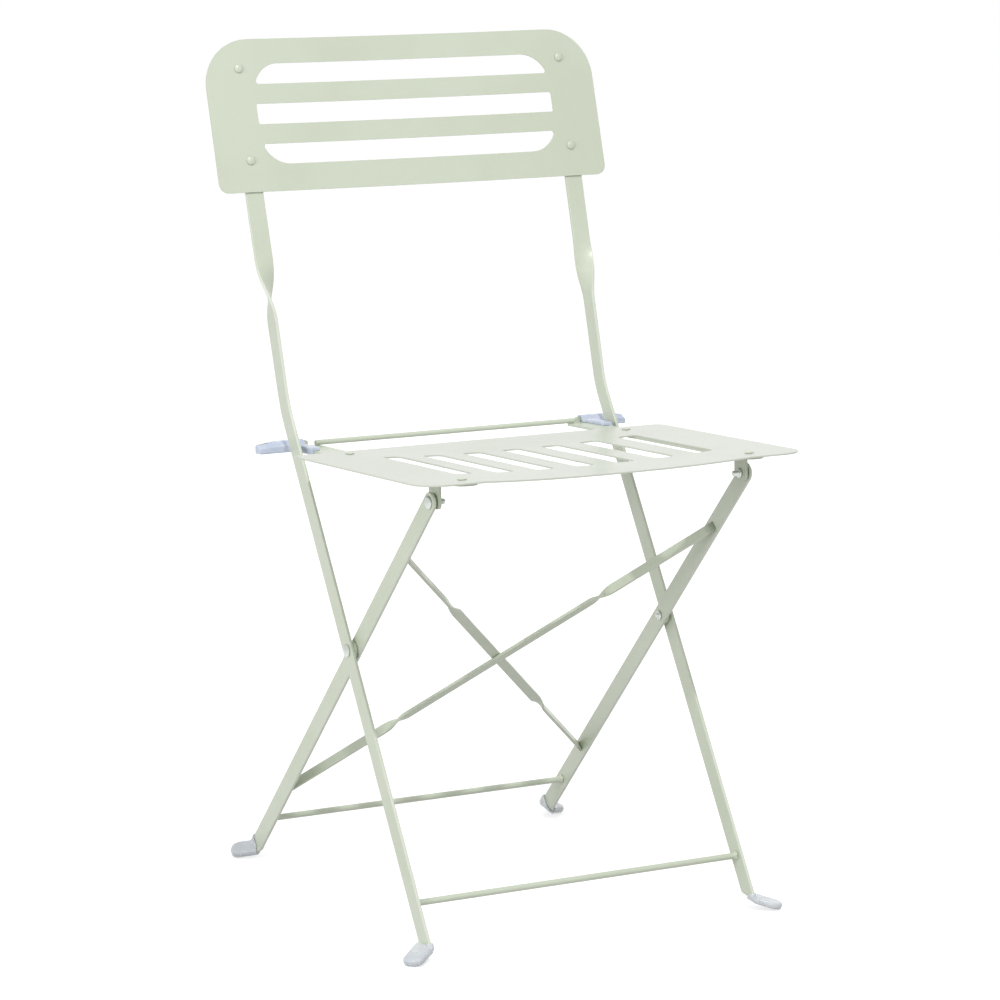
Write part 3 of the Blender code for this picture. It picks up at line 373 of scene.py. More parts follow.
def end_stations(edge, corner, half_width, steps=6):
    """Distances from a bar's end, with the width and the inset there: the corner's radius cuts the
    width and the edge's radius gives the inset."""
    distance = np.unique([radius * (1 - math.cos(turn)) for radius, count in ((edge, 4), (corner, steps))
                          for turn in np.radians(np.linspace(0, 90, count))])
    return distance, half_width - cut_in(distance, corner), cut_in(distance, edge)


print("section has", len(SECTION), "places")

# %% [markdown]
# A leg starts as a straight bar. Its end is folded outward over a rod: points past the first fold
# line roll round a cylinder and then run on straight. Worked out point by point, the fold can
# cross the bar at any slant, which is what gives these feet their turned-out toes.

# %% The two kinds of leg
CROSS = np.array((0.0, -0.0202, 0.2552))
ACROSS = np.array((1.0, 0.0, 0.0))
SIDES = (("left", -1), ("right", 1))


def lean_axes(lean):
    """Directions up the bar and towards its front edge, for one lean or an array of leans."""
    lean = np.asarray(lean, dtype=float)
    zero = np.zeros_like(lean)
    up = np.stack((zero, np.sin(lean), np.cos(lean)), axis=-1)
    front = np.stack((zero, -np.cos(lean), np.sin(lean)), axis=-1)
    return up, front


def make_leg(mid_x, lean, fold, fold_tilt, radius, fold_height, toe):
    """A kind of leg: its axes, the start of its fold on the centre line, and the fold's sizes."""
    up, front = lean_axes(lean)
    start = np.array((0, CROSS[1] + math.tan(lean) * (fold_height - CROSS[2]), fold_height))
    down = np.array((0, -math.sin(fold_tilt), -math.cos(fold_tilt)))
    return {"mid": mid_x, "up": up, "front": front, "start": start, "down": down, "fold": fold,
            "radius": radius, "toe": toe, "lean": lean}


def folded(leg, points, side):
    """Rolls flat points round the fold. With depth h below the fold line and turn a = h / radius,
    out = radius (1 - cos a) + rest sin a + x cos a, drop = radius sin a + rest cos a - x sin a."""
    depth = np.maximum((points[..., 1:] - leg["start"][1:]) @ leg["down"][1:], 0)
    turn = np.minimum(depth / leg["radius"], leg["fold"])
    rest = np.maximum(depth - leg["radius"] * leg["fold"], 0)
    x = points[..., 0]
    out = leg["radius"] * (1 - np.cos(turn)) + rest * np.sin(turn) + x * np.cos(turn)
    drop = leg["radius"] * np.sin(turn) + rest * np.cos(turn) - x * np.sin(turn)
    rolled = points + (drop - depth)[..., None] * leg["down"]
    rolled[..., 0] = side * (leg["mid"] + out)
    return rolled


FRONT_LEAN = math.radians(32.6)
REAR_LEAN = math.radians(-43.0)
BACK_LEAN = math.radians(16.9)
FRONT_LEG = make_leg(mid_x=0.1723, lean=FRONT_LEAN, fold=math.radians(75.0), toe=0.0328,
                     fold_tilt=math.radians(-4.3), radius=0.0034, fold_height=0.0138)
REAR_LEG = make_leg(mid_x=0.1648, lean=REAR_LEAN, fold=math.radians(70.7), toe=0.0281,
                    fold_tilt=math.radians(-9.6), radius=0.0055, fold_height=0.0139)
print("front toe", FRONT_LEG["toe"], "m, rear toe", REAR_LEG["toe"], "m")

# %% [markdown]
# Each upright is one bar nearly a metre long. Seen from the side it bends back above the seat.
# Below the backrest it is twisted a quarter turn, so that its wide face meets the panel. The
# path is straight, arc, straight; the twist turns the section's axes about the path by a smooth
# step, and no vertex is placed by hand. The front narrow face carries a painted highlight near the
# foot and above the seat, where the light reaches it; in the seat's shade between, only its edges do.

# %% Uprights
BEND_HEIGHT = 0.4651
BEND = np.array((0, CROSS[1] + math.tan(FRONT_LEAN) * (BEND_HEIGHT - CROSS[2]), BEND_HEIGHT))
BEND_RADIUS = 0.100
BEND_REACH = BEND_RADIUS * math.tan((FRONT_LEAN - BACK_LEAN) / 2)
TWIST_START = 0.0835
TWIST_LENGTH = 0.0640
UPRIGHT_TOP = 0.3430
BACK_MID_X = 0.1750
BACK_BOTTOM = 0.2090
BACK_RIVET_HEIGHTS = (0.0307, 0.1205)
ABOVE_FOLD = 0.012
FOOT_RINGS = 70
UPRIGHT_RINGS = 230
REAR_LEG_RINGS = 60
SEAT_SHADE_FROM = (0.12, 0.06)
SEAT_SHADE_TO = (0.43, 0.03)


def smooth_step(value, start, length):
    """Rises from 0 to 1 with soft ends: t * t * (3 - 2 t)."""
    share = np.clip((value - start) / length, 0, 1)
    return share * share * (3 - 2 * share)


def upright_path(run):
    """Centre and section axes at each distance up the bar from the first fold line, and the
    distance of the bar's top. Its two ends are not quite in line, so it leans outward a little."""
    arc_start = np.linalg.norm(BEND - FRONT_LEG["start"]) - BEND_REACH
    arc = BEND_RADIUS * (FRONT_LEAN - BACK_LEAN)
    turned = np.clip(run - arc_start, 0, arc) / BEND_RADIUS
    lean = FRONT_LEAN - turned
    up, front = lean_axes(lean)
    pin = BEND - FRONT_LEG["up"] * BEND_REACH + FRONT_LEG["front"] * BEND_RADIUS
    past = np.maximum(run - arc_start - arc, 0)
    before = np.minimum(run - arc_start, 0)
    centre = pin - front * BEND_RADIUS + up * past[:, None] + FRONT_LEG["up"] * before[:, None]
    distance = np.where(past > 0, past + BEND_REACH, 0)
    outward = np.clip(distance / (BACK_BOTTOM + BACK_RIVET_HEIGHTS[0]), 0, 1)
    centre[:, 0] += (BACK_MID_X - FRONT_LEG["mid"]) * outward
    turn = np.radians(90) * (1 - smooth_step(distance, TWIST_START, TWIST_LENGTH))[:, None]
    across = ACROSS * np.cos(turn) + front * np.sin(turn)
    through = front * np.cos(turn) - ACROSS * np.sin(turn)
    return centre, across, through, arc_start + arc + UPRIGHT_TOP - BEND_REACH


def leg_rings(leg, shaft, top, top_width, top_inset):
    """The rings of a leg from its toe to its top: distance from the fold, half width and inset."""
    tip, tip_width, tip_inset = end_stations(EDGE, BAR_CORNER, HALF_WIDTH)
    foot = np.linspace(tip[-1] - leg["toe"], ABOVE_FOLD, FOOT_RINGS)[1:]
    plain = np.zeros(len(foot) + len(shaft))
    return (np.concatenate((tip - leg["toe"], foot, shaft, top)),
            np.concatenate((tip_width, plain + HALF_WIDTH, top_width)),
            np.concatenate((tip_inset, plain, top_inset)))


def make_upright(word, side):
    top = upright_path(np.zeros(1))[3]
    end, end_width, end_inset = end_stations(EDGE, BAR_CORNER, HALF_WIDTH)
    shaft = np.linspace(ABOVE_FOLD, top - BAR_CORNER, UPRIGHT_RINGS)[1:-1]
    run, width, inset = leg_rings(FRONT_LEG, shaft, top - end[::-1], end_width[::-1], end_inset[::-1])
    centre, across, through, _ = upright_path(run)
    flat = bar_grid(centre, across, through, width, HALF_THICK, EDGE, inset)
    name = f"swept_upright_{word}"
    mesh = skin(name, folded(FRONT_LEG, flat, side))
    # Painted highlight on the front narrow face, left out in a band of painted shade under the seat.
    lit = 1 - smooth_step(centre[:, 2], *SEAT_SHADE_FROM) + smooth_step(centre[:, 2], *SEAT_SHADE_TO)
    mark_painted_highlight(mesh, EDGE_HIGHLIGHT_SHARE + lit[:, None] * (FRONT_HIGHLIGHT_SHARE - EDGE_HIGHLIGHT_SHARE), len(run))
    return finish_piece(name, mesh, BAR_PAINT, "back_frame", f"upright_{word}")


for word, side in SIDES:
    print(make_upright(word, side).name)

# %% [markdown]
# The rear legs are straight, with a half-round upper end about the seat's pivot, so their width
# there is the chord of a circle: half width = sqrt(r * r - d * d).

# %% Rear legs
SEAT_PIVOT_REACH = 0.2248
SEAT_PIVOT = CROSS + REAR_LEG["up"] * SEAT_PIVOT_REACH
CROWN_ANGLE = np.radians(np.linspace(0, 86, 24)[1:])
CROWN_ROUND = (1.2, 0.3)


def make_rear_leg(word, side):
    length = np.linalg.norm(SEAT_PIVOT - REAR_LEG["start"])
    shaft = np.linspace(ABOVE_FOLD, length, REAR_LEG_RINGS)[1:]
    run, width, inset = leg_rings(REAR_LEG, shaft, length + HALF_WIDTH * np.sin(CROWN_ANGLE),
                                  HALF_WIDTH * np.cos(CROWN_ANGLE),
                                  EDGE * smooth_step(CROWN_ANGLE, *CROWN_ROUND))
    centre = REAR_LEG["start"] + REAR_LEG["up"] * run[:, None]
    across = np.broadcast_to(REAR_LEG["front"], centre.shape)
    through = np.broadcast_to(-ACROSS, centre.shape)
    flat = bar_grid(centre, across, through, width, HALF_THICK, EDGE, inset)
    name = f"swept_rear_leg_{word}"
    mesh = skin(name, folded(REAR_LEG, flat, side))
    # Painted highlight: the front narrow face and the rolled edges are mixed paler.
    mark_painted_highlight(mesh, FRONT_HIGHLIGHT_SHARE, len(run))
    return finish_piece(name, mesh, BAR_PAINT, "rear_leg_frame", f"rear_leg_{word}")


for word, side in SIDES:
    print(make_rear_leg(word, side).name)

# %% [markdown]
# Two thinner strips cross between the rear legs. They lie flat where they cross and are turned on
# edge towards the legs, so each has two twists. The ends are cut to the legs' inner faces.

# %% Crossed braces
BRACE_HALF_WIDTH = 0.00475
BRACE_HALF_THICK = 0.0014
BRACE_EDGE = EDGE * 0.7
BRACE_BELOW_CROSS = 0.0419
BRACE_HALF_RISE = 0.1862
BRACE_TWIST_X = 0.0792
BRACE_TWIST_LENGTH = 0.0280
BRACE_CUT = 0.012
BRACE_RINGS = 241


def make_brace(name, direction):
    """One strip: it rises to the right for direction 1 and to the left for -1."""
    offset = direction * (BRACE_HALF_THICK + GAP / 2)
    half_x = REAR_LEG["mid"] - HALF_THICK - GAP
    middle = CROSS - REAR_LEG["up"] * BRACE_BELOW_CROSS + REAR_LEG["front"] * offset
    line = ACROSS * half_x + REAR_LEG["up"] * (BRACE_HALF_RISE * direction)
    length = np.linalg.norm(line)
    along = line / length
    flat = np.cross(REAR_LEG["front"], along)
    inner = np.linspace(BRACE_CUT - length, length - BRACE_CUT, BRACE_RINGS)
    run = np.concatenate(((-length,), inner, (length,)))
    twist_start = BRACE_TWIST_X / along[0] - BRACE_TWIST_LENGTH / 2
    turn = np.radians(90) * smooth_step(np.abs(run), twist_start, BRACE_TWIST_LENGTH)[:, None]
    across = flat * np.cos(turn) + REAR_LEG["front"] * np.sin(turn)
    through = REAR_LEG["front"] * np.cos(turn) - flat * np.sin(turn)
    plain = np.zeros(len(run))
    grid = bar_grid(middle + along * run[:, None], across, through, plain + BRACE_HALF_WIDTH,
                    BRACE_HALF_THICK, BRACE_EDGE, plain)
    for row, wall in ((0, -half_x), (-1, half_x)):
        grid[row] += along * ((wall - grid[row, :, :1]) / along[0])
    mesh = skin(f"twisted_{name}", grid)
    # Painted highlight on the rolled edges.
    mark_painted_highlight(mesh, EDGE_HIGHLIGHT_SHARE, len(run))
    return finish_piece(f"twisted_{name}", mesh, BAR_PAINT, "rear_leg_frame", name)


for name, direction in (("brace_bar_over", 1), ("brace_bar_under", -1)):
    print(make_brace(name, direction).name)

# %% [markdown]
# Round things are turned: a radius as a function of the distance along an axis. The crossbars end
# in weld beads, where the radius swells and ripples a little round the joint; rivets are short
# profiles of the same kind.

# %% Turned pieces
CROSSBAR_RADIUS = 0.0030
CROSSBAR_HEIGHTS = (0.0457, 0.0472)
BEAD_RISE = 0.0016
BEAD_FALL = 0.0021
BEAD_UNEVEN = 0.22
BEAD_LOBES = 5
BEAD_SPIRAL = 900
CROSSBAR_SIDES = 48
END_ROUND = 0.0004
END_RINGS = np.array((0, 0.0003, 0.0007, 0.0012, 0.0018, 0.0024, 0.0030, 0.0038, 0.0048, 0.0062))


def turned(name, start, axis, distance, radius, sides, material, body, node, ripple=None, ends=True):
    """point = start + axis * distance + spoke(angle) * radius, with ripple(angle, distance) added."""
    axis = np.array(axis, dtype=float)
    axis /= np.linalg.norm(axis)
    helper = np.array((0, 0, 1.0)) if abs(axis[2]) < 0.9 else ACROSS
    side = np.cross(axis, helper)
    side /= np.linalg.norm(side)
    other = np.cross(axis, side)
    angle = np.linspace(0, math.tau, sides, endpoint=False)
    spoke = side * np.cos(angle)[:, None] + other * np.sin(angle)[:, None]
    reach = np.asarray(radius, dtype=float)[:, None] * np.ones(sides)
    if ripple is not None:
        reach = reach + ripple(angle[None], np.asarray(distance)[:, None])
    grid = start + axis * np.asarray(distance)[:, None, None] + spoke[None] * reach[..., None]
    return finish_piece(name, skin(name, grid, ends), material, body, node)


def bead_height(distance, half):
    """A weld bead at each end: a bell, rise * exp(-(distance / fall) ** 2)."""
    near = half - np.abs(distance - half)
    return BEAD_RISE * np.exp(-(np.maximum(near, 0) / BEAD_FALL) ** 2)


def make_crossbar(node, leg, height, body):
    half = leg["mid"] - HALF_THICK - GAP
    centre_y = CROSS[1] + math.tan(leg["lean"]) * (height - CROSS[2])
    plain = np.linspace(0.01, 2 * half - 0.01, 12)
    distance = np.concatenate((END_RINGS, plain, 2 * half - END_RINGS[::-1]))
    radius = CROSSBAR_RADIUS + bead_height(distance, half)
    radius[[0, -1]] -= END_ROUND

    def bead_ripple(angle, place):
        return bead_height(place, half) * BEAD_UNEVEN * np.sin(BEAD_LOBES * angle + BEAD_SPIRAL * place)

    start = np.array((-half, centre_y, height))
    return turned(f"welded_{node}", start, ACROSS, distance, radius, CROSSBAR_SIDES, ROD_PAINT, body,
                  node, ripple=bead_ripple)


print(make_crossbar("front_crossbar", FRONT_LEG, CROSSBAR_HEIGHTS[0], "back_frame").name)
print(make_crossbar("rear_crossbar", REAR_LEG, CROSSBAR_HEIGHTS[1], "rear_leg_frame").name)

# %% [markdown]
# The backrest's rivets are driven before painting and vanish under the coat but for their domes.
# A dome is a flattened half ellipse on a short rim: radius = r cos(a), rise = h sin(a).

# %% Domed rivets
BACK_UP, BACK_FRONT = lean_axes(BACK_LEAN)
SHEET = 0.0015
RAIL_THICK = 0.0025
HEAD_RIM = 0.0003
RIVET_SHANK = 0.0020
RIVET_HEAD = 0.0043
RIVET_TAIL = 0.0034
RIVET_TAIL_RISE = 0.0012
BACK_HEAD_RISE = 0.0016
SEAT_HEAD_RISE = 0.0013
RIVET_SIDES = 36


def with_dome(pairs, radius, rise, start, steps=9):
    """Adds a dome to a profile of (distance, radius) pairs; gives distances and radii."""
    distance, reach = np.array(pairs).T
    turn = np.radians(np.linspace(0, 88, steps))
    return (np.concatenate((distance, start + rise * np.sin(turn))),
            np.concatenate((reach, radius * np.cos(turn))))


def rivet_profile(grip, head_rise):
    """From the tail, through the shank, to the crown of the head."""
    low = -grip - GAP
    pairs = ((low - RIVET_TAIL_RISE, RIVET_TAIL * 0.6), (low - RIVET_TAIL_RISE * 0.8, RIVET_TAIL * 0.85),
             (low - RIVET_TAIL_RISE * 0.4, RIVET_TAIL), (low, RIVET_TAIL * 0.98),
             (low, RIVET_SHANK), (GAP, RIVET_SHANK), (GAP, RIVET_HEAD))
    return with_dome(pairs, RIVET_HEAD, head_rise, GAP + HEAD_RIM)


distance, radius = rivet_profile(SHEET + GAP + 2 * HALF_THICK, BACK_HEAD_RISE)
for word, side in SIDES:
    for height, level in zip(BACK_RIVET_HEIGHTS, ("lower", "upper")):
        face = BEND + BACK_UP * (BACK_BOTTOM + height) + BACK_FRONT * (HALF_THICK + GAP + SHEET)
        face = face + ACROSS * side * BACK_MID_X
        node = f"back_rivet_{word}_{level}"
        turned(f"domed_{node}", face, BACK_FRONT, distance, radius, RIVET_SIDES, RIVET_PAINT,
               "back_frame", node)
print("back rivets done")

# %% [markdown]
# Four rivets are pivots. Their heads sit outside the bars and a collar with a short stub shows
# inside, bare metal because they are fitted last. Thin washers keep the bars apart.

# %% Pivot rivets and washers
PIVOT_SHANK = 0.0030
PIVOT_HEAD = 0.0062
PIVOT_HEAD_RISE = 0.0021
PIVOT_SIDES = 40
COLLAR_RADIUS = 0.0046
COLLAR_RISE = 0.0020
STUB_RADIUS = 0.0026
CROSS_STUB = 0.0035
SEAT_PIVOT_STUB = 0.0078
TAB_TO_LEG = 0.0023
CROSS_WASHER_RADIUS = 0.0085
SEAT_WASHER_RADIUS = 0.0062
WASHER_SIDES = 48


def pivot_profile(grip, stub):
    """From the stub, through the collar and the shank, to the crown of the head."""
    low = -GAP
    pairs = ((low - stub, 0.0016), (low - stub + 0.0004, 0.0023), (low - stub + 0.0010, STUB_RADIUS),
             (low - COLLAR_RISE, STUB_RADIUS), (low - COLLAR_RISE, 0.0035), (low - 0.0017, 0.0041),
             (low - 0.0008, COLLAR_RADIUS), (low, COLLAR_RADIUS), (low, PIVOT_SHANK),
             (grip + GAP, PIVOT_SHANK), (grip + GAP, 0.0061))
    return with_dome(pairs, PIVOT_HEAD, PIVOT_HEAD_RISE, grip + GAP + HEAD_RIM)


def make_washer(node, start, axis, thickness, outer):
    """A ring: its profile runs up the hole, across, down the rim and back, with soft corners."""
    hole = PIVOT_SHANK + GAP
    soft = thickness * 0.2
    high = thickness - soft
    distance = (soft, high, thickness, thickness, high, soft, 0, 0, soft)
    radius = (hole, hole, hole + soft, outer - soft, outer, outer, outer - soft, hole + soft, hole)
    return turned(f"turned_{node}", start, axis, distance, radius, WASHER_SIDES, RIVET_PAINT,
                  "rear_leg_frame", node, ends=False)


front_inner, front_outer = (FRONT_LEG["mid"] + face * HALF_THICK for face in (-1, 1))
rear_inner, rear_outer = (REAR_LEG["mid"] + face * HALF_THICK for face in (-1, 1))
tab_outer = rear_inner - TAB_TO_LEG
tab_inner = tab_outer - RAIL_THICK
for word, side in SIDES:
    out = ACROSS * side
    for kind, body, centre, low, high, stub in (
            ("cross", "back_frame", CROSS, rear_inner, front_outer, CROSS_STUB),
            ("seat_pivot", "rear_leg_frame", SEAT_PIVOT, tab_inner, rear_outer, SEAT_PIVOT_STUB)):
        node = f"{kind}_rivet_{word}"
        turned(f"driven_{node}", centre + out * low, out, *pivot_profile(high - low, stub), PIVOT_SIDES,
               ZINC, body, node)
    for kind, centre, low, high, rim in (
            ("cross", CROSS, rear_outer, front_inner, CROSS_WASHER_RADIUS),
            ("seat_pivot", SEAT_PIVOT, tab_outer, rear_inner, SEAT_WASHER_RADIUS)):
        make_washer(f"{kind}_washer_{word}", centre + out * (low + GAP), out, high - low - 2 * GAP, rim)
print("pivots done")

# %% [markdown]
# The seat and the backrest are cut from sheet and pressed. An outline with round corners and its
# slots are laid out flat, triangulated with extra points inside, and then every point is lifted
# onto the pressed shape. The cut edge gets a tiny round from a Bevel, which catches the light as
# the real edge does.

# %% Outlines in the flat
LONGEST_STEP = 0.012
CLEAR_OF_EDGES = 0.003
SOFT_EDGE = 0.00045


def rounded(corners, step=8):
    """An outline from (x, y, radius) corners: each corner becomes an arc about its own centre, and
    a corner without a radius stays a point."""
    points = np.array([corner[:2] for corner in corners])
    outline = []
    for index, (x, y, radius) in enumerate(corners):
        here = points[index]
        if radius == 0:
            outline.append(here[None])
            continue
        back = points[index - 1] - here
        ahead = points[(index + 1) % len(points)] - here
        back, ahead = back / np.linalg.norm(back), ahead / np.linalg.norm(ahead)
        half = math.acos(np.clip(back @ ahead, -1, 1)) / 2
        middle = (back + ahead) / np.linalg.norm(back + ahead)
        centre = here + middle * radius / math.sin(half)
        first = here + back * radius / math.tan(half) - centre
        last = here + ahead * radius / math.tan(half) - centre
        start = math.atan2(first[1], first[0])
        sweep = (math.atan2(last[1], last[0]) - start + math.pi) % math.tau - math.pi
        turn = start + sweep * np.linspace(0, 1, max(3, int(abs(math.degrees(sweep)) / step) + 1))
        outline.append(centre + radius * np.stack((np.cos(turn), np.sin(turn)), axis=-1))
    return np.concatenate(outline)


def rectangle(x_low, x_high, y_low, y_high, low_radius, high_radius=None):
    """A rectangle with round corners; those at its high end may have a radius of their own."""
    high_radius = high_radius or low_radius
    return rounded([(x_low, y_low, low_radius), (x_high, y_low, low_radius),
                    (x_high, y_high, high_radius), (x_low, y_high, high_radius)])


def divided(outline):
    """Adds points along the straight runs, none farther apart than the outline's longest step."""
    result = []
    for here, ahead in zip(outline, np.roll(outline, -1, axis=0)):
        steps = max(1, math.ceil(np.linalg.norm(ahead - here) / LONGEST_STEP))
        result.append(here + (ahead - here) * (np.arange(steps) / steps)[:, None])
    return np.concatenate(result)


def on_sheet(points, loops):
    """True for each point on the sheet: a line from it to the right crosses the outline and the
    holes an odd number of times."""
    here = np.concatenate(loops)
    ahead = np.concatenate([np.roll(loop, -1, axis=0) for loop in loops])
    x, y = points[:, :1], points[:, 1:]
    spans = (here[:, 1] > y) != (ahead[:, 1] > y)
    height = np.where(ahead[:, 1] == here[:, 1], 1e-12, ahead[:, 1] - here[:, 1])
    crossing = here[:, 0] + (y - here[:, 1]) / height * (ahead[:, 0] - here[:, 0])
    return (spans & (x < crossing)).sum(axis=1) % 2 == 1


def sheet_mesh(name, outline, holes, inner, shape):
    """Triangulates the flat pattern, lifts it onto its shape and gives it a thickness downwards."""
    loops = [outline] + holes
    starts = np.cumsum([0] + [len(loop) for loop in loops])
    edges = [(int(first + k), int(first + (k + 1) % len(loop))) for first, loop in zip(starts, loops)
             for k in range(len(loop))]
    gap = np.sqrt(((inner[:, None] - np.concatenate(loops)) ** 2).sum(axis=2)).min(axis=1)
    points = np.concatenate(loops + [inner[on_sheet(inner, loops) & (gap > CLEAR_OF_EDGES)]])
    pattern, _, triangles, *_ = delaunay_2d_cdt([Vector(p) for p in points.tolist()], edges, [], 0,
                                                SAME_PLACE)
    flat = np.array([(p.x, p.y) for p in pattern])
    triangles = np.array([tuple(t) for t in triangles])
    triangles = triangles[on_sheet(flat[triangles].mean(axis=1), loops)]
    count = len(flat)
    upper, normal = shape(flat[:, 0], flat[:, 1])
    points = np.concatenate((upper, upper - normal * SHEET))
    sides = np.sort(np.concatenate((triangles[:, :2], triangles[:, 1:], triangles[:, ::2])), axis=1)
    rim, uses = np.unique(sides, axis=0, return_counts=True)
    rim = rim[uses == 1]
    faces = triangles.tolist() + (triangles[:, ::-1] + count).tolist()
    faces += np.stack((rim[:, 0], rim[:, 1], rim[:, 1] + count, rim[:, 0] + count), axis=-1).tolist()
    mesh = bpy.data.meshes.new(name)
    mesh.from_pydata(points.tolist(), [], faces)
    return mesh


def soften(obj, width, segments=2, angle=40):
    """A small round on every sharp edge, and normals that keep the large faces flat."""
    bevel = obj.modifiers.new("soft_edges", "BEVEL")
    bevel.width = width
    bevel.segments = segments
    bevel.limit_method = "ANGLE"
    bevel.angle_limit = math.radians(angle)
    obj.modifiers.new("flat_faces", "WEIGHTED_NORMAL")
    return obj


# %% Backrest panel
BACK_HALF = 0.2109
BACK_HEIGHT = 0.1492
BACK_BOW = 0.0030
BACK_BOTTOM_ROUND = 0.0100
BACK_TOP_ROUND = 0.0475
WINDOW_HALF = 0.1611
WINDOW_ROUND = 0.0290
SLOT_BOTTOM = 0.0264
SLOT_HEIGHT = 0.0200
SLOT_PITCH = 0.0393
SLAT_ROUND = 0.0020
SLAT_TIP_ROUND = 0.0028


def back_shape(x, height):
    """The front face: lifted off the uprights, bowed back by a parabola across the window."""
    bow = BACK_BOW * (1 - np.clip(np.abs(x) / WINDOW_HALF, 0, 1) ** 2)
    lift = (HALF_THICK + GAP + SHEET - bow)[:, None]
    rise = (BACK_BOTTOM + height)[:, None]
    place = BEND + BACK_UP * rise + BACK_FRONT * lift + ACROSS * x[:, None]
    return place, np.broadcast_to(BACK_FRONT, place.shape)


def even_points(half, low, high, step):
    """A grid of points with every other row moved by half a step."""
    x, y = np.meshgrid(np.arange(-half, half, step), np.arange(low, high, step))
    shift = (np.arange(len(x)) % 2)[:, None] * step / 2
    return np.stack((x + shift, y), axis=-1).reshape(-1, 2)


def window_slot(outer):
    """One slot of the window; outer is -1 for the lowest, 1 for the highest and 0 between them. An
    outer slot's ends follow the window's round corner, x = half - R + R cos(a), cut off by a slat."""
    low = SLOT_BOTTOM + SLOT_PITCH * (outer + 1)
    high = low + SLOT_HEIGHT
    if outer == 0:
        return rectangle(-WINDOW_HALF, WINDOW_HALF, low, high, SLAT_ROUND)
    first = math.asin((WINDOW_ROUND - SLOT_HEIGHT) / WINDOW_ROUND)
    turn = np.linspace(first, math.radians(90), 12)
    x = WINDOW_HALF - WINDOW_ROUND * (1 - np.cos(turn))
    rise = WINDOW_ROUND * np.sin(turn) - (WINDOW_ROUND - SLOT_HEIGHT)
    y = low + rise if outer > 0 else high - rise
    end = np.stack((x, y, np.where(turn == first, SLAT_TIP_ROUND, 0)), axis=-1)
    other = end[::-1] * (-1, 1, 1)
    corners = np.concatenate((end, other))
    return rounded(corners if outer > 0 else corners[::-1])


outline = rectangle(-BACK_HALF, BACK_HALF, 0, BACK_HEIGHT, BACK_BOTTOM_ROUND, BACK_TOP_ROUND)
slots = [divided(window_slot(outer)) for outer in (-1, 0, 1)]
mesh = sheet_mesh("pressed_back_panel", divided(outline), slots,
                  even_points(0.205, 0.005, 0.149, step=0.009), back_shape)
back_panel = finish_piece("pressed_back_panel", mesh, SHEET_PAINT, "back_frame", "back_panel")
soften(back_panel, SOFT_EDGE)
print(back_panel.name, len(mesh.polygons), "faces")

# %% [markdown]
# The seat is dished a few millimetres between its rails, so that rain runs to the slots. The dish
# is 1 - |x / half| to a power across, held up to the front edge and faded out behind the slots.

# %% Seat panel
TILT = math.radians(2.757)
ABOVE_PIVOT = 0.0227
FRONT_OVERHANG = 0.0565
SEAT_HALF = 0.1992
SEAT_DEPTH = 0.2719
SEAT_FRONT_ROUND = 0.0270
SEAT_REAR_ROUND = 0.0090
SEAT_SLOTS = 7
SEAT_SLOT_WIDTH = 0.0192
SEAT_SLOT_PITCH = 0.0419
SEAT_SLOT_FRONT = 0.0640
SEAT_SLOT_REAR = 0.2125
SEAT_SLOT_ROUND = 0.0050
DISH_HALF = 0.1360
DISH_DEPTH = 0.0036
DISH_POWER = 2.6
DISH_AT_FRONT = 0.85
SEAT_BACK = np.array((0, math.cos(TILT), -math.sin(TILT)))
SEAT_UP = np.array((0, math.sin(TILT), math.cos(TILT)))
SEAT_EDGE = SEAT_PIVOT - SEAT_BACK * FRONT_OVERHANG + SEAT_UP * ABOVE_PIVOT


def seat_place(x, depth, height):
    """A point on the seat, from the middle of its front edge: across, back and up."""
    x, depth, height = (np.asarray(value)[..., None] for value in (x, depth, height))
    return SEAT_EDGE + SEAT_BACK * depth + SEAT_UP * height + ACROSS * x


def seat_shape(x, depth):
    """The top face: dip = depth of the dish * across * front * half a cosine behind the slots."""
    across = np.maximum(1 - (np.abs(x) / DISH_HALF) ** DISH_POWER, 0)
    front = DISH_AT_FRONT + (1 - DISH_AT_FRONT) * np.clip(depth / SEAT_SLOT_FRONT, 0, 1)
    fade = np.clip((depth - SEAT_SLOT_REAR) / (SEAT_DEPTH - SEAT_SLOT_REAR), 0, 1)
    dip = DISH_DEPTH * across * front * (1 + np.cos(math.pi * fade)) / 2
    place = seat_place(x, depth, -dip)
    return place, np.broadcast_to(SEAT_UP, place.shape)


def seat_slot(index):
    middle = SEAT_SLOT_PITCH * (index - (SEAT_SLOTS - 1) / 2)
    half = SEAT_SLOT_WIDTH / 2
    return rectangle(middle - half, middle + half, SEAT_SLOT_FRONT, SEAT_SLOT_REAR, SEAT_SLOT_ROUND)


outline = rectangle(-SEAT_HALF, SEAT_HALF, 0, SEAT_DEPTH, SEAT_FRONT_ROUND, SEAT_REAR_ROUND)
slots = [divided(seat_slot(index)) for index in range(SEAT_SLOTS)]
mesh = sheet_mesh("pressed_seat_panel", divided(outline), slots,
                  even_points(0.197, 0.004, 0.270, step=0.008), seat_shape)
seat_panel = finish_piece("pressed_seat_panel", mesh, PAINTED_REFLECTION_SEAT_PAINT, "seat_frame", "seat_panel")
soften(seat_panel, SOFT_EDGE)
print(seat_panel.name, len(mesh.polygons), "faces")

# %% Seat rivets and rear rod
SEAT_RIVET_X = 0.1490
SEAT_RIVET_DEPTHS = (0.0245, 0.2511)
HOOK_DEPTH = 0.3430
ROD_DEPTH = 0.3420
ROD_HALF = 0.1420
ROD_RADIUS = 0.0025
ROD_END = ((0, 0.0016), (0.0002, 0.0021), (0.0007, ROD_RADIUS), (0.0012, ROD_RADIUS))
ROD_SIDES = 40

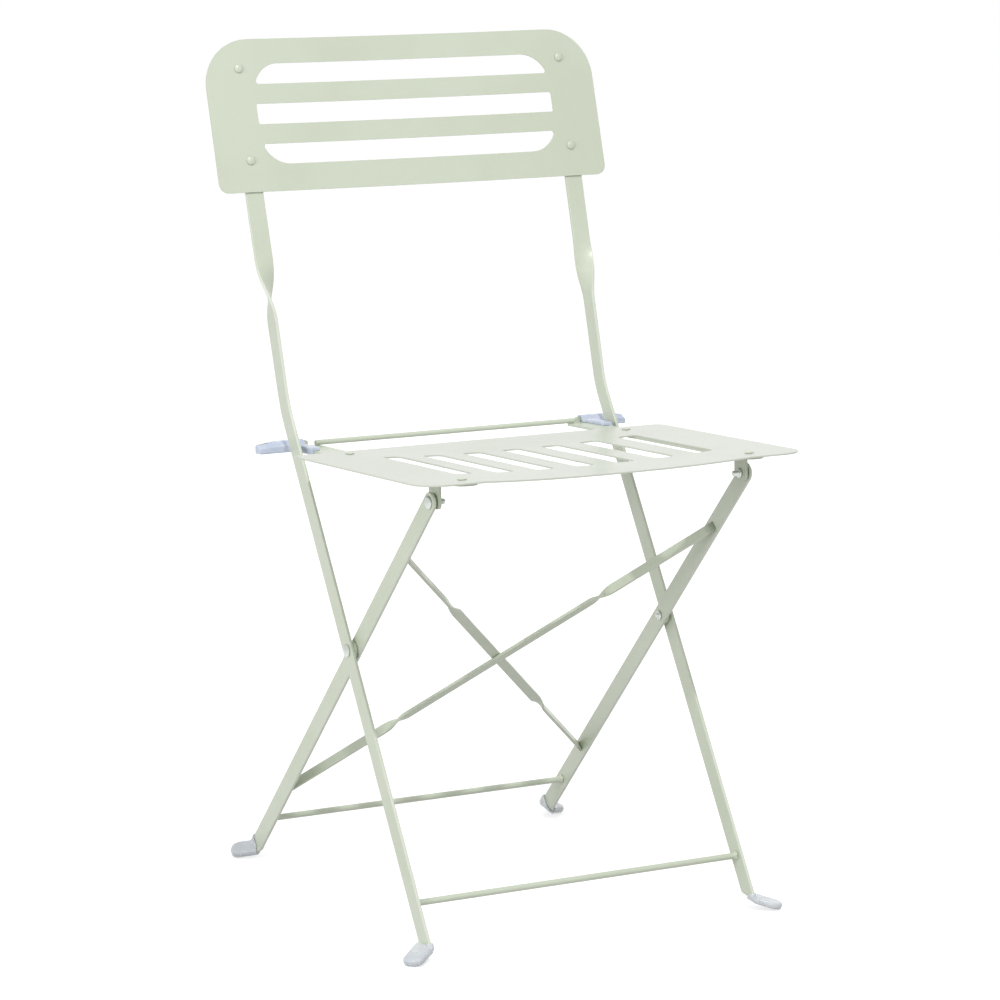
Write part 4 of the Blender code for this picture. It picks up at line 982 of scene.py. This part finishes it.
distance, radius = rivet_profile(SHEET + GAP + RAIL_THICK, SEAT_HEAD_RISE)
for word, side in SIDES:
    for depth, level in zip(SEAT_RIVET_DEPTHS, ("front", "rear")):
        node = f"seat_rivet_{word}_{level}"
        turned(f"domed_{node}", seat_place(side * SEAT_RIVET_X, depth, 0.0), SEAT_UP, distance, radius,
               RIVET_SIDES, RIVET_PAINT, "seat_frame", node)

ends, end_radius = np.array(ROD_END).T
distance = np.concatenate((ends, np.linspace(0.004, 0.280, 10), 2 * ROD_HALF - ends[::-1]))
radius = np.concatenate((end_radius, np.full(10, ROD_RADIUS), end_radius[::-1]))
turned("turned_rear_rod", seat_place(-ROD_HALF, ROD_DEPTH, ROD_RADIUS - SHEET), ACROSS, distance, radius,
       ROD_SIDES, ROD_PAINT, "seat_frame", "rear_rod")
print("seat rivets and rod done")

# %% [markdown]
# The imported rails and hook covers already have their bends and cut-outs. A copy of each is enough:
# its coplanar triangles are joined and its edges softened.

# %% Softened copies
GUARD_SHARE = 0.58
GUARD_BEFORE_HOOK = 0.004


def softened_copy(node, name, material, width, segments, shape=None):
    """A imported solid's mesh with its points reshaped, its flat faces joined and its edges round."""
    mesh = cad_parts[node].data.copy()
    mesh.name = name
    if shape is not None:
        points = shape(np.array([point.co for point in mesh.vertices]))
        mesh.vertices.foreach_set("co", points.astype(np.float32).ravel())
    merged = bmesh.new()
    merged.from_mesh(mesh)
    bmesh.ops.remove_doubles(merged, verts=merged.verts, dist=2e-6)
    bmesh.ops.dissolve_limit(merged, angle_limit=math.radians(1), verts=merged.verts, edges=merged.edges)
    merged.to_mesh(mesh)
    merged.free()
    piece = finish_piece(name, mesh, material, "seat_frame", node)
    return soften(piece, width, segments, 25)


def shorter_guard(points):
    """Draws the guard beside the upright in towards the hook: each point in front of the hook
    moves back by (1 - share) of its distance from it."""
    depth = (points - SEAT_EDGE) @ SEAT_BACK
    move = np.maximum(HOOK_DEPTH - GUARD_BEFORE_HOOK - depth, 0) * (1 - GUARD_SHARE)
    return points + SEAT_BACK * move[:, None]


for word in ("left", "right"):
    rail, cover = f"seat_rail_{word}", f"hook_cover_{word}"
    softened_copy(rail, f"bent_{rail}", SHEET_PAINT, 0.0004, 2)
    softened_copy(cover, f"moulded_{cover}", COVER_PLASTIC, 0.0005, 3, shorter_guard)
print("rails and covers done")

# %% [markdown]
# Each foot wears a clear cap, an offset of the folded toe. Its skin is a grid as well: rings run
# from the closed tip to the mouth outside, turn over the rim and run back inside. The mouth is
# cut at a slant, so each place on the ring has its own mouth distance. Below the floor the points
# are lifted to it, which presses the sole flat.

# %% Foot caps
CAP_SIDE = 0.0012
CAP_TOP = 0.0009
CAP_TIP = 0.0019
CAP_CORNER = 0.0095
CAP_EDGE = 0.0026
LIP_RISE = 0.0002
CAP_RINGS = 45


def make_cap(kind, word, side, leg, body, mouth, mouth_tilt, sole):
    """One cap, from its walls' thicknesses round the bar: the sole lies under the toe."""
    slant = math.tan(mouth_tilt - leg["lean"])

    def layer(wide, top, low, tip, corner, edge):
        """The toe's skin moved out by so much at its sides, top, sole and tip."""
        distance, width, inset = end_stations(edge, corner, HALF_WIDTH + wide, 9)
        blend = np.pad(np.linspace(0, 1, CAP_RINGS + 1), (len(distance) - 1, 0))[:, None]
        rows, width = (np.pad(values, (0, CAP_RINGS), "edge") for values in (distance, width))
        inset = np.pad(inset, (0, CAP_RINGS))
        half_thick = HALF_THICK + (top + low) / 2
        across = SECTION[:, 0] * (width[:, None] - edge) + SECTION[:, 1] * (edge - inset[:, None])
        thick = SECTION[:, 2] * (half_thick - edge) + SECTION[:, 3] * (edge - inset[:, None])
        from_tip = leg["toe"] + tip - rows[:, None]
        down = from_tip * (1 - blend) + (mouth - slant * across) * blend
        flat = leg["start"] - leg["up"] * down[..., None] + leg["front"] * across[..., None]
        flat = flat - ACROSS * (thick - (top - low) / 2)[..., None]
        return folded(leg, flat, side)

    outer = layer(GAP + CAP_SIDE, GAP + CAP_TOP, GAP + sole, GAP + CAP_TIP, CAP_CORNER, CAP_EDGE)
    inner = layer(GAP, GAP, GAP, GAP, BAR_CORNER, EDGE)
    outer[..., 2] = np.maximum(outer[..., 2], 0)
    rim = (outer[-1:] + inner[-1:]) / 2 + leg["up"] * LIP_RISE
    node = f"{kind}_foot_cap_{word}"
    mesh = skin(f"moulded_{node}", np.concatenate((outer, rim, inner[::-1])))
    return finish_piece(f"moulded_{node}", mesh, CAP_PLASTIC, body, node)


for word, side in SIDES:
    make_cap("front", word, side, FRONT_LEG, "back_frame",
             mouth=0.0028, mouth_tilt=math.radians(26), sole=0.0019)
    make_cap("rear", word, side, REAR_LEG, "rear_leg_frame",
             mouth=0.0006, mouth_tilt=math.radians(-52), sole=0.0025)
print("caps done")

# %% [markdown]
# The chair stands on a plain pale floor that turns white for the camera and keeps a soft shadow.
# A small lamp high in front throws the slats' shadows onto the rear crossbar, and two wide ones
# fill from the left and from behind. The pale surroundings do the rest: the satin seat mirrors
# them at a low angle.

# %% Floor, lamps and surroundings
FLOOR_HALF = 9.0
FLOOR_BELOW = 0.0004
FLOOR_GREYS = ((0.50, 0.50, 0.50), (0.53, 0.53, 0.53))
FLOOR_GLOW = 0.64
SKY_SEEN = 0.28
SKY_LIGHT = 0.72


def mirrored_or_seen(tree):
    """1 where the camera, a mirrored ray or a ray through plastic looks, else 0."""
    rays = tree.nodes.new("ShaderNodeLightPath")
    seen = maths(tree, "MAXIMUM", rays.outputs["Is Camera Ray"], rays.outputs["Is Glossy Ray"])
    return maths(tree, "MAXIMUM", seen, rays.outputs["Is Transmission Ray"])


floor_mesh = bpy.data.meshes.new("floor")
floor_corners = [(x * FLOOR_HALF, y * FLOOR_HALF, 0) for x, y in ((-1, -1), (1, -1), (1, 1), (-1, 1))]
floor_mesh.from_pydata(floor_corners, [], [(0, 1, 2, 3)])
floor = bpy.data.objects.new("floor", floor_mesh)
floor.location.z = -FLOOR_BELOW
bpy.context.collection.objects.link(floor)
material, tree, shader = new_material("pale_floor")
coordinates = tree.nodes.new("ShaderNodeTexCoord")
mottle = noise(tree, coordinates.outputs["Object"], 3.0, 2.0)
tree.links.new(mixed(tree, mottle, *FLOOR_GREYS), shader.inputs["Base Color"])
set_inputs(shader, {"Roughness": 0.9, "Specular IOR Level": 0.0, "Emission Color": (1, 1, 1, 1)})
glow = maths(tree, "MULTIPLY", mirrored_or_seen(tree), FLOOR_GLOW)
tree.links.new(glow, shader.inputs["Emission Strength"])
floor_mesh.materials.append(material)

world = bpy.data.worlds.new("pale_surroundings")
bpy.context.scene.world = world
world.use_nodes = True
tree = world.node_tree
backdrop = tree.nodes["Background"]
backdrop.inputs["Color"].default_value = (1, 1, 1, 1)
seen = maths(tree, "MULTIPLY", mirrored_or_seen(tree), SKY_SEEN)
tree.links.new(maths(tree, "ADD", seen, SKY_LIGHT), backdrop.inputs["Strength"])


def add_lamp(name, place, power, aim=(0, 0, 0.4), size=1.6, mirrored=False):
    """A round lamp turned to its aim; unless told otherwise it is wide, and no surface mirrors it."""
    lamp = bpy.data.objects.new(name, bpy.data.lights.new(name, "AREA"))
    lamp.data.shape = "DISK"
    lamp.data.size = size
    lamp.data.energy = power
    lamp.location = place
    lamp.rotation_euler = (Vector(aim) - Vector(place)).to_track_quat("-Z", "Y").to_euler()
    lamp.visible_glossy = mirrored
    bpy.context.collection.objects.link(lamp)


add_lamp("key", (-0.10, -2.10, 3.55), power=52, aim=(0, 0, 0.3), size=0.12, mirrored=True)
add_lamp("fill_left", (-3.0, -0.9, 1.3), power=40)
add_lamp("fill_behind", (2.2, 2.4, 1.4), power=24)
bpy.context.scene.view_settings.view_transform = "Standard"
